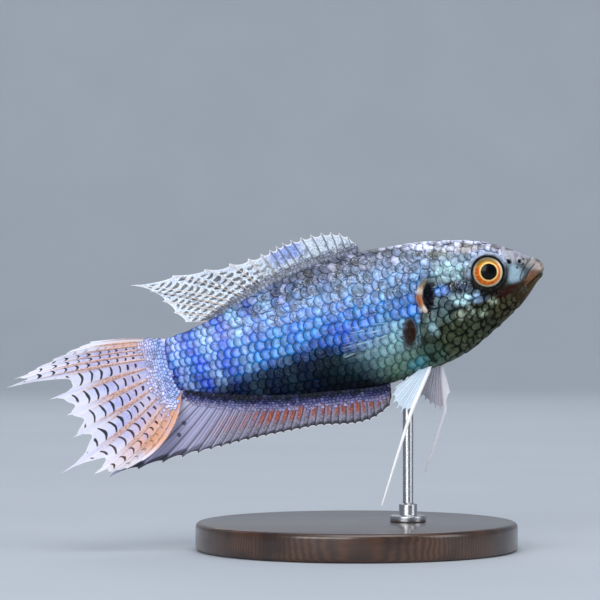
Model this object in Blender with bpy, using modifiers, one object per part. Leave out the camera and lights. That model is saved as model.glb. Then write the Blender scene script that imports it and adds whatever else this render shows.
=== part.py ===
"""Paradise fish, life size, held on a plain display stand by one rod.

The fish is modelled level in its own frame, with its snout towards +X, its back towards +Z and its
left side towards +Y, and is then pitched up and lifted onto the stand by the empty that carries it.
"""

import math

import bmesh
import bpy
import numpy as np
from mathutils import Vector

MM = 0.001
GAP = 0.3  # mm kept between pieces that meet

# Pose on the stand, in millimetres and degrees.
PITCH = 14.4
AXIS_HEIGHT = 33.5

# Body from the snout back, in millimetres: place along the axis, height of the back, depth of the
# belly, half width, and the height at which the section is widest.
BODY = (
    (27.60, 0.25, -0.35, 0.30, -0.05),
    (27.25, 0.95, -0.80, 0.85, -0.05),
    (26.00, 2.05, -2.15, 1.65, 0.00),
    (24.00, 3.60, -3.95, 2.45, 0.10),
    (20.00, 5.75, -6.40, 3.60, 0.20),
    (14.00, 7.50, -9.20, 4.45, -0.80),
    (6.00, 8.50, -10.40, 4.60, -1.30),
    (2.00, 8.70, -10.75, 4.40, -1.30),
    (-6.00, 8.20, -9.80, 3.85, -1.00),
    (-14.00, 6.50, -8.40, 2.90, -0.90),
    (-22.00, 4.25, -6.10, 1.75, -0.60),
    (-26.40, 3.65, -4.35, 0.95, -0.35),
)
# How the section closes, by place: above 1 the back or the belly is a ridge, below 1 it is flat.
ROUNDNESS = (
    (27.60, 0.90, 0.90),
    (18.00, 0.85, 1.00),
    (8.00, 0.95, 0.85),
    (0.00, 1.05, 1.00),
    (-12.00, 1.15, 1.25),
    (-27.00, 1.20, 1.20),
)
TAIL_ROOT = -26.4  # where the stalk starts to round off
TAIL_REACH = 1.95  # how far the rounded end of the stalk reaches behind it
TAIL_SQUARE = 3.4  # how squarely that end closes in the side view, where 2 is an ellipse
TAIL_TAPER = 0.65  # share of its width that the end loses
BEND_START = -4.0  # the body is straight ahead of this
BEND_END = -28.0
BEND_SIDE = -1.7  # how far the tail root swings to the right side
FIN_TRAIL = 0.17  # how far the dorsal and the anal fin trail to the left of it, for their length
NECK = 8.0  # plane between head and trunk
STALK = -17.0  # plane between trunk and tail stalk

EYE_PLACE = (19.7, 2.6, 1.3)
EYE_RADIUS = 2.25
EYE_DEPTH = 1.5
RIM_RADIUS = 2.62
RIM_WIDTH = 0.28

NOSTRILS = ((22.85, 1.95, 0.34), (24.1, 1.75, 0.3))
MOUTH_TIP = (27.50, -0.40)
MOUTH_CORNER = (24.6, -1.90)
JAW_HINGE = (22.1, -3.5)
JAW_THROAT = (20.9, -7.4)
LIP_THICKNESS = 0.34

COVER_DEPTH = 0.75  # thickness of the gill cover
COVER_OUTLINE = (
    (11.6, 3.1),
    (14.6, 2.0),
    (15.6, -1.4),
    (14.4, -5.6),
    (11.6, -8.0),
    (9.6, -7.7),
    (8.55, -5.2),
    (8.75, -2.9),
    (9.2, 0.7),
    (10.2, 2.6),
)

MEMBRANE = 0.5  # thickness of a fin between its rays
RAY_ROOT = 0.95  # thickness over a ray at its root and near its end
RAY_END = 0.6
FIN_EDGE = 0.36
SPINE_COLUMNS = (0.0, 0.2, 0.8)  # ray, foot of the ridge, foot of the next one
FORK_COLUMNS = (0.0, 0.14, 0.5, 0.86)
FORK_START = 0.42  # share of a branched ray below its fork

# Rays of the dorsal fin: number, root along the back, tip, bow.
DORSAL = (
    (0, 2.9, 2.35, 9.9, 0.0),
    (1, 1.9, 1.5, 11.3, 0.03),
    (2, 0.8, 0.5, 12.0, 0.05),
    (7, -4.9, -6.5, 12.75, 0.05),
    (13, -11.8, -15.8, 11.65, 0.06),
    (14, -13.0, -19.4, 11.75, 0.06),
    (15, -14.2, -24.1, 12.05, 0.06),
    (16, -15.4, -30.3, 12.15, 0.05),
    (17, -16.6, -27.9, 10.7, 0.04),
    (18, -17.8, -26.4, 8.8, 0.03),
    (19, -19.0, -25.2, 6.8, 0.02),
    (20, -20.1, -23.9, 5.1, 0.0),
)
# Rays of the anal fin, in the same way along the belly.
ANAL = (
    (0, 2.4, 1.9, -12.7, 0.0),
    (1, 1.5, 1.3, -13.9, 0.02),
    (2, 0.6, 0.2, -14.5, 0.03),
    (12, -8.5, -10.8, -14.0, 0.05),
    (20, -15.8, -21.0, -13.55, 0.05),
    (24, -19.5, -27.0, -13.6, 0.05),
    (26, -21.4, -32.2, -13.65, 0.05),
    (27, -22.4, -35.9, -13.7, 0.05),
    (28, -23.3, -40.4, -13.8, 0.04),
    (29, -24.2, -36.2, -10.3, 0.03),
    (30, -25.1, -31.2, -6.9, 0.02),
)
# Rays of the tail fin: angle of the root on the rounded stalk, tip, bow towards the outside of the
# fan, share cut out of the membrane after it, and depth of the fork in its tip.
CAUDAL = (
    (62, -37.6, 5.75, 0.05, 0.06, 0.0),
    (52, -40.8, 5.25, 0.05, 0.06, 0.02),
    (43, -43.4, 4.65, 0.05, 0.06, 0.02),
    (34, -46.4, 4.00, 0.05, 0.08, 0.03),
    (25, -49.7, 3.30, 0.05, 0.13, 0.03),
    (16, -51.2, 2.40, 0.04, 0.34, 0.04),
    (7, -45.9, -0.80, 0.02, 0.16, 0.05),
    (-3, -44.0, -3.60, -0.03, 0.16, 0.05),
    (-12, -44.1, -6.95, -0.06, 0.25, 0.06),
    (-22, -47.1, -11.5, -0.10, 0.24, 0.06),
    (-32, -42.4, -12.7, -0.15, 0.09, 0.05),
    (-42, -39.9, -13.05, -0.20, 0.07, 0.04),
    (-52, -37.5, -13.1, -0.24, 0.07, 0.03),
    (-63, -34.6, -12.45, -0.28, 0.0, 0.0),
)
CAUDAL_SWING = 0.16  # the tail fin turns this far to the right for its length
CAUDAL_CURL = 0.006

# Rays of a pectoral fin: number, direction from its root, length, bow.
PECTORAL = (
    (0, 172, 8.6),
    (4, 183, 10.6),
    (8, 199, 9.8),
    (11, 219, 7.4),
)
PECTORAL_TOP = (6.9, -2.5)
PECTORAL_FOOT = (6.3, -5.7)
PECTORAL_STAND = 0.7  # how far the middle of its root stands off the skin
PECTORAL_SPREAD = 0.24  # how far it opens away from the body, for its length
PECTORAL_BOW = 0.25

# Pelvic fins: root, tips of the six rays with their sideways reach, and the long feeler's bend.
PELVIC_FRONT = 8.7
PELVIC_REAR = 7.0
PELVIC_SIDE = 1.4
PELVIC_STAND = 0.62
PELVIC_RAY = 0.72
PELVIC_NEAR = (
    (5.7, -14.2, 3.0),
    (4.2, -15.2, 3.3),
    (3.2, -15.0, 3.5),
    (2.5, -14.6, 3.6),
    (2.1, -13.8, 3.7),
    (1.9, -12.9, 3.7),
)
PELVIC_FAR = (
    (10.1, -14.4, 2.6),
    (9.0, -16.3, 3.0),
    (8.1, -16.2, 3.2),
    (7.3, -15.3, 3.3),
    (6.5, -14.2, 3.3),
    (5.8, -13.1, 3.2),
)
FEELER_NEAR = ((0.6, -20.9, 4.2), (-3.3, -26.9, 5.0))
FEELER_FAR = ((7.3, -19.4, 3.9), (4.1, -24.5, 4.7))
FEELER_RADIUS = 0.42
FEELER_TIP = 0.14

# Display stand, in millimetres.
BASE_RADIUS = 23.0
BASE_THICKNESS = 4.0
BASE_EDGE = 0.8
ROD_RADIUS = 0.75
ROD_PLACE = 4.9  # where on the belly the rod meets the fish
FLANGE_RADIUS = 2.6
FLANGE_THICKNESS = 0.9


def smooth(table, column, x):
    """One column of a table at x, on a smooth line through its rows."""
    rows = sorted(table)
    xs = np.array([row[0] for row in rows], float)
    ys = np.array([row[column] for row in rows], float)
    slopes = np.gradient(ys, xs)
    i = int(np.clip(np.searchsorted(xs, x) - 1, 0, len(xs) - 2))
    h = xs[i + 1] - xs[i]
    t = min(max((x - xs[i]) / h, 0.0), 1.0)
    rise = t * t * (3 - 2 * t)
    lean = slopes[i] * t * (1 - t) * (1 - t) - slopes[i + 1] * t * t * (1 - t)
    return float(ys[i] * (1 - rise) + ys[i + 1] * rise + h * lean)


def bend(x):
    """Sideways place of the body's middle, which swings to the right towards the tail."""
    share = max(0.0, (BEND_START - x) / (BEND_START - BEND_END))
    return BEND_SIDE * share * share


def past_root(x):
    """Share of the way from where the tail stalk starts to round off to its end."""
    return min(max(0.0, TAIL_ROOT - x) / TAIL_REACH, 1.0)


def closing(share):
    """Height of the stalk's end at a share of its length or of its height: a squarish curve from 1 to 0."""
    return (1 - share**TAIL_SQUARE) ** (1 / TAIL_SQUARE)


def section(x, inset=0.0):
    """Back, belly, half width and widest height of the body at x."""
    at = max(x, TAIL_ROOT)
    back, belly, half, widest = (smooth(BODY, column, at) for column in (1, 2, 3, 4))
    end = closing(past_root(x))
    half = half * (1 - TAIL_TAPER * past_root(x))
    return (
        widest + (back - widest) * end - inset,
        widest - (widest - belly) * end + inset,
        max(half - inset, 0.05),
        widest,
    )


def skin(x, angle, inset=0.0):
    """Point of the body's skin: an angle of 90 degrees is the back, 0 the left side, -90 the belly."""
    back, belly, half, widest = section(x, inset)
    up, out = math.sin(angle), math.cos(angle)
    power = smooth(ROUNDNESS, 1 if up > 0 else 2, x)
    side = math.copysign(abs(out) ** power, out)
    reach = back - widest if up > 0 else widest - belly
    return Vector((x, bend(x) + half * side, widest + reach * up))


def skin_at_height(x, z):
    """Sideways distance of the skin from the body's middle at a height."""
    back, belly, half, widest = section(x)
    reach = back - widest if z > widest else widest - belly
    up = min(abs(z - widest) / reach, 1.0)
    power = smooth(ROUNDNESS, 1 if z > widest else 2, x)
    return half * math.cos(math.asin(up)) ** power


def skin_below(x, y):
    """Height of the skin's underside at a distance from the middle."""
    _, belly, half, widest = section(x)
    power = smooth(ROUNDNESS, 2, x)
    out = min((abs(y) / half) ** (1 / power), 1.0)
    return widest - (widest - belly) * math.sqrt(1 - out * out)


def material(name, colour, roughness, metallic=0.0):
    made = bpy.data.materials.new(name)
    made.use_nodes = True
    shader = made.node_tree.nodes["Principled BSDF"]
    shader.inputs["Base Color"].default_value = (*colour, 1)
    shader.inputs["Roughness"].default_value = roughness
    shader.inputs["Metallic"].default_value = metallic
    return made


def clear_scene():
    for obj in list(bpy.data.objects):
        bpy.data.objects.remove(obj)


def new_object(name, bm, finish=None):
    """An object from a bmesh in millimetres, in the fish's frame, with its faces turned outwards."""
    bm.normal_update()
    bmesh.ops.recalc_face_normals(bm, faces=bm.faces)
    bmesh.ops.scale(bm, vec=(MM, MM, MM), verts=bm.verts)
    mesh = bpy.data.meshes.new(name)
    bm.to_mesh(mesh)
    bm.free()
    obj = bpy.data.objects.new(name, mesh)
    fish.objects.link(obj)
    if finish:
        mesh.materials.append(finish)
        mesh.shade_smooth()
        mesh.set_sharp_from_angle(angle=math.radians(40))
    return obj


def apply_modifiers(obj):
    """Makes the evaluated mesh the object's own and keeps its largest closed surface."""
    graph = bpy.context.evaluated_depsgraph_get()
    mesh = bpy.data.meshes.new_from_object(obj.evaluated_get(graph))
    obj.modifiers.clear()
    obj.data = mesh
    bm = bmesh.new()
    bm.from_mesh(mesh)
    left, pieces = set(bm.verts), []
    while left:
        reached = [left.pop()]
        for vert in reached:
            for edge in vert.link_edges:
                other = edge.other_vert(vert)
                if other in left:
                    left.remove(other)
                    reached.append(other)
        pieces.append(reached)
    largest = max(pieces, key=len)
    scraps = [vert for piece in pieces if piece is not largest for vert in piece]
    bmesh.ops.delete(bm, geom=scraps, context="VERTS")
    bm.to_mesh(mesh)
    bm.free()


def combine(obj, others, operation):
    """Joins the others to an object, cuts them out of it or keeps what they share, and removes them."""
    group = bpy.data.collections.new("pieces")
    bpy.context.scene.collection.children.link(group)
    for other in others:
        fish.objects.unlink(other)
        group.objects.link(other)
    modifier = obj.modifiers.new("join", "BOOLEAN")
    modifier.operation = operation
    modifier.operand_type = "COLLECTION"
    modifier.collection = group
    apply_modifiers(obj)
    for other in others:
        bpy.data.objects.remove(other)
    bpy.data.collections.remove(group)


def body_length(name, places, around, finish=None, inset=0.0):
    """A closed length of the body, shaped from a sphere whose rings become its sections."""
    bm = bmesh.new()
    bmesh.ops.create_uvsphere(bm, u_segments=around, v_segments=len(places) + 1, radius=1)
    for vert in bm.verts:
        ring = round(math.acos(max(-1, min(1, vert.co.z))) * (len(places) + 1) / math.pi)
        place = places[min(max(ring, 1), len(places)) - 1]
        if ring in (0, len(places) + 1):
            vert.co = Vector((place, bend(place), section(place)[3]))
        else:
            vert.co = skin(place, math.atan2(vert.co.y, vert.co.x), inset)
    return new_object(name, bm, finish)


def steps(start, end, count):
    return [start + (end - start) * i / count for i in range(count + 1)]


def prism(name, outline, low, high, grow=0.0):
    """A side-view outline in x and z, drawn out from low to high across the fish."""
    middle = Vector((sum(p[0] for p in outline), sum(p[1] for p in outline))) / len(outline)
    bm = bmesh.new()
    near = []
    for x, z in outline:
        out = (Vector((x, z)) - middle).normalized() * grow
        near.append(bm.verts.new((x + out.x, low, z + out.y)))
    face = bm.faces.new(near)
    drawn = bmesh.ops.extrude_face_region(bm, geom=[face])["geom"]
    moved = [v for v in drawn if isinstance(v, bmesh.types.BMVert)]
    bmesh.ops.translate(bm, vec=(0, high - low, 0), verts=moved)
    return new_object(name, bm)


def ball(name, centre, radii, segments, rings, finish=None):
    bm = bmesh.new()
    bmesh.ops.create_uvsphere(bm, u_segments=segments, v_segments=rings, radius=1)
    turned = [Vector((v.co.x, v.co.z, v.co.y)) for v in bm.verts]
    for vert, at in zip(bm.verts, turned):
        vert.co = Vector(centre) + Vector((at.x * radii[0], at.y * radii[1], at.z * radii[2]))
    return new_object(name, bm, finish)


def tube(name, points, radii, sides=1):
    """A tapered tube through the points, as a closed mesh."""
    curve = bpy.data.curves.new(name, "CURVE")
    curve.dimensions = "3D"
    curve.bevel_depth = 1.0
    curve.bevel_resolution = sides
    curve.use_fill_caps = True
    spline = curve.splines.new("POLY")
    spline.points.add(len(points) - 1)
    for point, at, radius in zip(spline.points, points, radii):
        point.co = (*at, 1)
        point.radius = radius
    guide = bpy.data.objects.new(name, curve)
    fish.objects.link(guide)
    graph = bpy.context.evaluated_depsgraph_get()
    mesh = bpy.data.meshes.new_from_object(guide.evaluated_get(graph))
    bpy.data.objects.remove(guide)
    bm = bmesh.new()
    bm.from_mesh(mesh)
    bmesh.ops.remove_doubles(bm, verts=bm.verts, dist=0.001)
    return new_object(name, bm)


def on_curve(points, t):
    """Point on the quadratic curve from a ray's root to its tip."""
    root, pull, tip = points
    return root * (1 - t) ** 2 + pull * (2 * t * (1 - t)) + tip * t * t


def bowed(root, tip, bow):
    """Root, pull and tip of a ray that bows in the side view by a share of its length."""
    along = tip - root
    across = Vector((-along.z, 0, along.x))
    return root, (root + tip) / 2 - across * bow, tip


def fin(name, rays, rows, columns, cuts, forks, finish, ray=RAY_ROOT):
    """A membrane over a fan of rays, which stand out as ridges and end in points.

    cuts holds the share cut out of the membrane after each ray, forks the depth of each tip's fork
    and ray the thickness over a ray at its root.
    """
    layout = [(k, share) for k in range(len(rays) - 1) for share in columns]
    layout.append((len(rays) - 2, 1.0))
    branched = len(columns) == len(FORK_COLUMNS)
    bm = bmesh.new()
    bmesh.ops.create_grid(bm, x_segments=len(layout) - 1, y_segments=rows, size=0.5)
    weights = bm.verts.layers.deform.verify()
    for vert in bm.verts:
        k, share = layout[round((vert.co.x + 0.5) * (len(layout) - 1))]
        v = round((vert.co.y + 0.5) * rows) / rows
        crest = share in (0.0, 1.0)
        beside = branched and share in (columns[1], columns[-1])
        if crest:
            cut = forks[k + round(share)]
            ridge = 0.35 if branched and v > FORK_START and cut else 1.0
        elif beside:
            nearest = k if share < 0.5 else k + 1
            cut = 0.12 * cuts[k]
            ridge = 1.0 if v > FORK_START and forks[nearest] else 0.0
        else:
            cut = cuts[k]
            ridge = 0.0
        reach = v * (1 - cut)
        vert.co = on_curve(rays[k], reach).lerp(on_curve(rays[k + 1], reach), share)
        thick = MEMBRANE + ridge * (ray + (RAY_END - ray) * v - MEMBRANE)
        vert[weights][0] = (FIN_EDGE if v == 1 else thick) / ray
    bmesh.ops.triangulate(bm, faces=bm.faces)
    obj = new_object(name, bm, finish)
    obj.vertex_groups.new(name="thickness")
    walls = obj.modifiers.new("walls", "SOLIDIFY")
    walls.thickness = ray * MM
    walls.offset = 0
    walls.vertex_group = "thickness"
    return obj


def even_cuts(count, share):
    return [share] * (count - 1)


def fin_along(name, table, edge, rows, share, finish):
    """A fin whose rays stand in a row along the back or the belly."""
    rays = []
    outward = 1 if edge == 0 else -1
    for k in range(table[-1][0] + 1):
        root_x, tip_x, tip_z, bow = (smooth(table, column, k) for column in (1, 2, 3, 4))
        root = Vector((root_x, bend(root_x), section(root_x)[edge] + GAP * outward))
        tip = Vector((tip_x, root.y + FIN_TRAIL * (root_x - tip_x), tip_z))
        rays.append(bowed(root, tip, bow * outward))
    cuts, forks = even_cuts(len(rays), share), [0.0] * len(rays)
    return fin(name, rays, rows, SPINE_COLUMNS, cuts, forks, finish)


def build_head():
    """Head with sockets, rims, nostrils and upper lip; gill covers and lower jaw parted from it."""
    places = [NECK] + steps(8.8, 26.4, 21) + [27.0, 27.35, 27.6]
    head = body_length("head", places, 36, flesh)
    jaw = body_length("lower_jaw", places, 36, flesh)
    jaw_outline = (
        (29.2, 0.3),
        MOUTH_TIP,
        MOUTH_CORNER,
        JAW_HINGE,
        JAW_THROAT,
        (24.0, -9.5),
        (30.0, -5.0),
    )
    combine(jaw, [prism("jaw_room", jaw_outline, -6, 6)], "INTERSECT")
    cutters = [prism("jaw_cut", raised(jaw_outline, GAP), -6, 6)]
    for side in (1, -1):
        cover_name = "gill_cover_left" if side > 0 else "gill_cover_right"
        build_cover(cover_name, side, places)
        cutters.append(cover_pocket(side))
        x, y, z = EYE_PLACE
        reach = EYE_RADIUS + GAP
        cutters.append(ball("socket", (x, side * y, z), (reach, EYE_DEPTH + GAP, reach), 24, 12))
        for px, pz, radius in NOSTRILS:
            py = side * skin_at_height(px, pz)
            cutters.append(ball("nostril", (px, py, pz), (radius, 0.45, radius), 8, 6))
    combine(head, [rim(side) for side in (1, -1)] + [lip("upper_lip", 0.36)], "UNION")
    combine(head, cutters, "DIFFERENCE")
    combine(jaw, [lip("lower_lip", -0.3)], "UNION")


def raised(outline, gap):
    """The jaw's outline with its upper and rear sides moved out by the gap."""
    moved = [(x, z + gap) for x, z in outline[:2]]
    moved += [(x - gap * 0.7, z + gap * 0.7) for x, z in outline[2:4]]
    moved += [(x - gap, z) for x, z in outline[4:5]]
    return (*moved, *outline[5:])


def lip(name, height):
    """A soft roll along one side of the mouth, from corner to corner round the snout."""
    points, radii = [], []
    for share in steps(-1, 1, 14):
        back = abs(share) ** 1.6
        x = MOUTH_TIP[0] + (MOUTH_CORNER[0] - MOUTH_TIP[0]) * back - 0.2
        z = MOUTH_TIP[1] + (MOUTH_CORNER[1] - MOUTH_TIP[1]) * back + height
        side = math.copysign(max(skin_at_height(x, z) - 0.12, 0.0), share) if back > 0.01 else 0.0
        points.append(Vector((x, side, z)))
        radii.append(LIP_THICKNESS * (1 - 0.45 * back))
    return tube(name, points, radii)


def rim(side):
    """The soft ring round an eye."""
    x, _, z = EYE_PLACE
    turns = 24
    bm = bmesh.new()
    rings = []
    for i in range(turns):
        around = 2 * math.pi * i / turns
        px, pz = x + RIM_RADIUS * math.cos(around), z + RIM_RADIUS * math.sin(around)
        centre = Vector((px, side * (skin_at_height(px, pz) - 0.12), pz))
        out = Vector((math.cos(around), 0, math.sin(around)))
        ring = []
        for j in range(6):
            turn = 2 * math.pi * j / 6
            offset = out * math.cos(turn) + Vector((0, math.sin(turn), 0))
            ring.append(bm.verts.new(centre + offset * RIM_WIDTH))
        rings.append(ring)
    for ring, following in zip(rings, rings[1:] + rings[:1]):
        for j in range(6):
            bm.faces.new((ring[j], ring[(j + 1) % 6], following[(j + 1) % 6], following[j]))
    return new_object("rim", bm)


def build_cover(name, side, places):
    """One gill cover: a plate of the cheek's own surface."""
    cover = body_length(name, places, 36, flesh)
    low, high = (0.4, 7) if side > 0 else (-7, -0.4)
    combine(cover, [prism("cover_room", COVER_OUTLINE, low, high)], "INTERSECT")
    combine(cover, [body_length("inside", steps(7, 17, 12), 36, inset=COVER_DEPTH)], "DIFFERENCE")


def cover_pocket(side):
    """What is cut from the head to seat a gill cover with a gap all round."""
    low, high = (0.4, 7) if side > 0 else (-7, -0.4)
    pocket = prism("pocket", COVER_OUTLINE, low, high, grow=GAP * 1.4)
    floor = body_length("floor", steps(7, 17, 12), 36, inset=COVER_DEPTH + GAP)
    combine(pocket, [floor], "DIFFERENCE")
    return pocket


def build_eyes():
    for side in (1, -1):
        name = "eye_left" if side > 0 else "eye_right"
        x, y, z = EYE_PLACE
        ball(name, (x, side * y, z), (EYE_RADIUS, EYE_DEPTH, EYE_RADIUS), 20, 10, iris)


def build_trunk():
    body_length("trunk", steps(STALK + GAP / 2, NECK - GAP, 16)[::-1], 28, scales)
    rounded = [TAIL_ROOT - TAIL_REACH * share for share in (0, 0.45, 0.78, 0.93, 0.99)]
    body_length("tail_stalk", steps(STALK - GAP / 2, -25.4, 5) + rounded, 28, scales)


def stalk_edge(angle, out):
    """A point round the end of the tail stalk, this far outside it in the side view."""
    back, belly, _, _ = section(TAIL_ROOT)
    middle, reach = (back + belly) / 2, (back - belly) / 2
    x = TAIL_ROOT - (TAIL_REACH + out) * closing(abs(math.sin(angle)))
    return Vector((x, bend(x), middle + (reach + out) * math.sin(angle)))


def build_caudal():
    rays = []
    for angle, tip_x, tip_z, bow, _, _ in CAUDAL:
        root = stalk_edge(math.radians(angle), GAP + 0.05)
        length = math.hypot(tip_x - root.x, tip_z - root.z)
        swing = -(CAUDAL_SWING + CAUDAL_CURL * length) * length
        tip = Vector((tip_x, root.y + swing, tip_z))
        curve = bowed(root, tip, bow)
        curve[1].y = root.y - CAUDAL_SWING * length / 2
        rays.append(curve)
    cuts = [ray[4] for ray in CAUDAL[:-1]]
    forks = [ray[5] for ray in CAUDAL]
    fin("caudal_fin", rays, 9, FORK_COLUMNS, cuts, forks, tail_tint)


def build_pectoral(side):
    rays = []
    count = PECTORAL[-1][0]
    for k in range(count + 1):
        share = k / count
        x = PECTORAL_TOP[0] + (PECTORAL_FOOT[0] - PECTORAL_TOP[0]) * share
        z = PECTORAL_TOP[1] + (PECTORAL_FOOT[1] - PECTORAL_TOP[1]) * share
        off = skin_at_height(x, z) + PECTORAL_STAND
        angle, length = math.radians(smooth(PECTORAL, 1, k)), smooth(PECTORAL, 2, k)
        root = Vector((x, side * off, z))
        reach = Vector((math.cos(angle), side * PECTORAL_SPREAD, math.sin(angle))) * length
        pull = root + reach / 2 + Vector((0, side * PECTORAL_BOW, 0))
        rays.append((root, pull, root + reach))
    name = "pectoral_fin_left" if side > 0 else "pectoral_fin_right"
    cuts, forks = even_cuts(len(rays), 0.05), [0.0] * len(rays)
    fin(name, rays, 5, SPINE_COLUMNS, cuts, forks, clear_fin)


def build_pelvic(side, tips, feeler):
    """Five rays on a small membrane, with the second one drawn out into a long feeler."""
    rays = []
    for k, (tip_x, tip_z, tip_y) in enumerate(tips):
        x = PELVIC_FRONT + (PELVIC_REAR - PELVIC_FRONT) * k / (len(tips) - 1)
        root = Vector((x, side * PELVIC_SIDE, skin_below(x, PELVIC_SIDE) - PELVIC_STAND))
        rays.append(bowed(root, Vector((tip_x, side * tip_y, tip_z)), 0.0))
    name = "pelvic_fin_left" if side > 0 else "pelvic_fin_right"
    cuts, forks = even_cuts(len(rays), 0.1), [0.0] * len(rays)
    obj = fin(name, rays, 5, SPINE_COLUMNS, cuts, forks, pale_fin, PELVIC_RAY)
    (bend_x, bend_z, bend_y), (end_x, end_z, end_y) = feeler
    first = [on_curve(rays[1], t) for t in (0.12, 0.4, 0.7, 0.95)]
    bent = (first[-1], Vector((bend_x, side * bend_y, bend_z)), Vector((end_x, side * end_y, end_z)))
    points = first + [on_curve(bent, t) for t in steps(0.2, 1, 4)]
    taper = [share**1.5 for share in steps(0, 1, len(points) - 1)]
    radii = [FEELER_RADIUS + (FEELER_TIP - FEELER_RADIUS) * share for share in taper]
    apply_modifiers(obj)
    combine(obj, [tube("feeler", points, radii)], "UNION")


def build_fins():
    fin_along("dorsal_fin", DORSAL, 0, 5, 0.09, spotted_fin)
    fin_along("anal_fin", ANAL, 1, 5, 0.05, striped_fin)
    build_caudal()
    for side in (1, -1):
        build_pectoral(side)
    build_pelvic(1, PELVIC_FAR, FEELER_FAR)
    build_pelvic(-1, PELVIC_NEAR, FEELER_NEAR)


def turned(name, profile, segments, place, finish):
    """A turned piece of the stand from its profile, top to bottom down the outer side, in millimetres."""
    bm = bmesh.new()
    verts = [bm.verts.new((radius * MM, 0, height * MM)) for radius, height in profile]
    for start, end in zip(verts, verts[1:]):
        bm.edges.new((start, end))
    mesh = bpy.data.meshes.new(name)
    bm.to_mesh(mesh)
    bm.free()
    mesh.materials.append(finish)
    obj = bpy.data.objects.new(name, mesh)
    obj.location = Vector(place) * MM
    stand.objects.link(obj)
    screw = obj.modifiers.new("turn", "SCREW")
    screw.steps = segments
    screw.render_steps = segments
    screw.use_merge_vertices = True
    screw.merge_threshold = 0.00001
    return obj


def build_stand(pose):
    profile = (
        (0, BASE_THICKNESS),
        (BASE_RADIUS - BASE_EDGE, BASE_THICKNESS),
        (BASE_RADIUS, BASE_THICKNESS - BASE_EDGE),
        (BASE_RADIUS, BASE_EDGE / 2),
        (BASE_RADIUS - BASE_EDGE / 2, 0),
        (0, 0),
    )
    turned("stand_base", profile, 48, (0, 0, 0), wood)
    belly = Vector((ROD_PLACE, 0, section(ROD_PLACE)[1]))
    slope = math.atan2(section(ROD_PLACE + 1)[1] - section(ROD_PLACE - 1)[1], 2) + math.radians(PITCH)
    top = pose @ (belly * MM) / MM
    foot = BASE_THICKNESS + GAP
    height = top.z - GAP / math.cos(slope) - foot
    profile = (
        (0, height),
        (ROD_RADIUS, height),
        (ROD_RADIUS, FLANGE_THICKNESS + 0.7),
        (ROD_RADIUS + 0.5, FLANGE_THICKNESS),
        (FLANGE_RADIUS - 0.3, FLANGE_THICKNESS),
        (FLANGE_RADIUS, FLANGE_THICKNESS - 0.3),
        (FLANGE_RADIUS, 0),
        (0, 0),
    )
    rod = turned("stand_rod", profile, 20, (top.x, top.y, foot), steel)
    apply_modifiers(rod)
    for vert in rod.data.vertices:
        if vert.co.z > (height - 0.5) * MM:
            vert.co.z += vert.co.x * math.tan(slope)


def build_pose():
    """The empty that carries the fish, pitched up over the middle of the base."""
    empty = bpy.data.objects.new("fish_pose", None)
    bpy.context.scene.collection.objects.link(empty)
    empty.location = (0, 0, AXIS_HEIGHT * MM)
    empty.rotation_euler = (0, -math.radians(PITCH), 0)
    bpy.context.view_layer.update()
    return empty


def main():
    build_head()
    build_eyes()
    build_trunk()
    build_fins()
    empty = build_pose()
    for obj in fish.objects:
        obj.parent = empty
    build_stand(empty.matrix_world)


clear_scene()
fish = bpy.data.collections.new("paradise_fish")
stand = bpy.data.collections.new("display_stand")
bpy.context.scene.collection.children.link(fish)
bpy.context.scene.collection.children.link(stand)
flesh = material("olive_head_skin", (0.20, 0.24, 0.17), 0.4)
scales = material("blue_scales", (0.16, 0.30, 0.72), 0.35, 0.3)
iris = material("orange_iris", (0.85, 0.28, 0.03), 0.15)
spotted_fin = material("spotted_dorsal_fin", (0.62, 0.66, 0.85), 0.4)
striped_fin = material("striped_anal_fin", (0.40, 0.36, 0.55), 0.4)
tail_tint = material("lilac_tail_fin", (0.72, 0.66, 0.85), 0.4)
clear_fin = material("clear_pectoral_fin", (0.35, 0.50, 0.72), 0.3)
pale_fin = material("pale_pelvic_fin", (0.85, 0.90, 0.95), 0.4)
wood = material("dark_wood", (0.09, 0.05, 0.03), 0.45)
steel = material("brushed_steel", (0.62, 0.62, 0.63), 0.3, 1.0)
main()
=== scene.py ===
"""Paradise fish, life size, on its display stand: skin, scales, eyes, fins, stand and studio.

The fish is shaped in millimetres in its own level frame, snout towards +X, back towards +Z and left
side towards +Y, as its solids are, and each finished piece is then pitched up onto the stand.
"""

import math

import bpy
import numpy as np
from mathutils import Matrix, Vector


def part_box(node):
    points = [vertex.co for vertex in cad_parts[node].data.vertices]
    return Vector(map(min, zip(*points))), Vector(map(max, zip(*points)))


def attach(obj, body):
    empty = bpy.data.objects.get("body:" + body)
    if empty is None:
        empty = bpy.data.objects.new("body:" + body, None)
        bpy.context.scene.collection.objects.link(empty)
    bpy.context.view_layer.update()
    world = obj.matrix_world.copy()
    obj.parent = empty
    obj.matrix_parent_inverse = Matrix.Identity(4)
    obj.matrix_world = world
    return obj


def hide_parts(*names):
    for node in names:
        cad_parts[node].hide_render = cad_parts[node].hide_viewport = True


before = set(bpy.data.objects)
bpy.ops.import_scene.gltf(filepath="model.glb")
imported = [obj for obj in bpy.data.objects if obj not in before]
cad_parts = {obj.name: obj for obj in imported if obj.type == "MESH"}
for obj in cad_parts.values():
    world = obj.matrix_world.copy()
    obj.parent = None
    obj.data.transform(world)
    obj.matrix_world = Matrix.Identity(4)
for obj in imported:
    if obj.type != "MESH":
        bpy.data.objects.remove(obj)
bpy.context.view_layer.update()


# Studio: a pale round sweep with no corners, so that the fish has the same quiet ground from every
# side, and a camera level with the fish, square to its right side as in the photograph.
MM = 0.001
PIXELS_PER_MM = 7.0
FRAME_PIXELS = 600
AXIS_PIXEL = (356.5, 315.0)  # where the fish's own origin falls in the photograph
AXIS_HEIGHT = 33.5
CAMERA_DISTANCE = 0.42
SENSOR = 36.0
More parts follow.
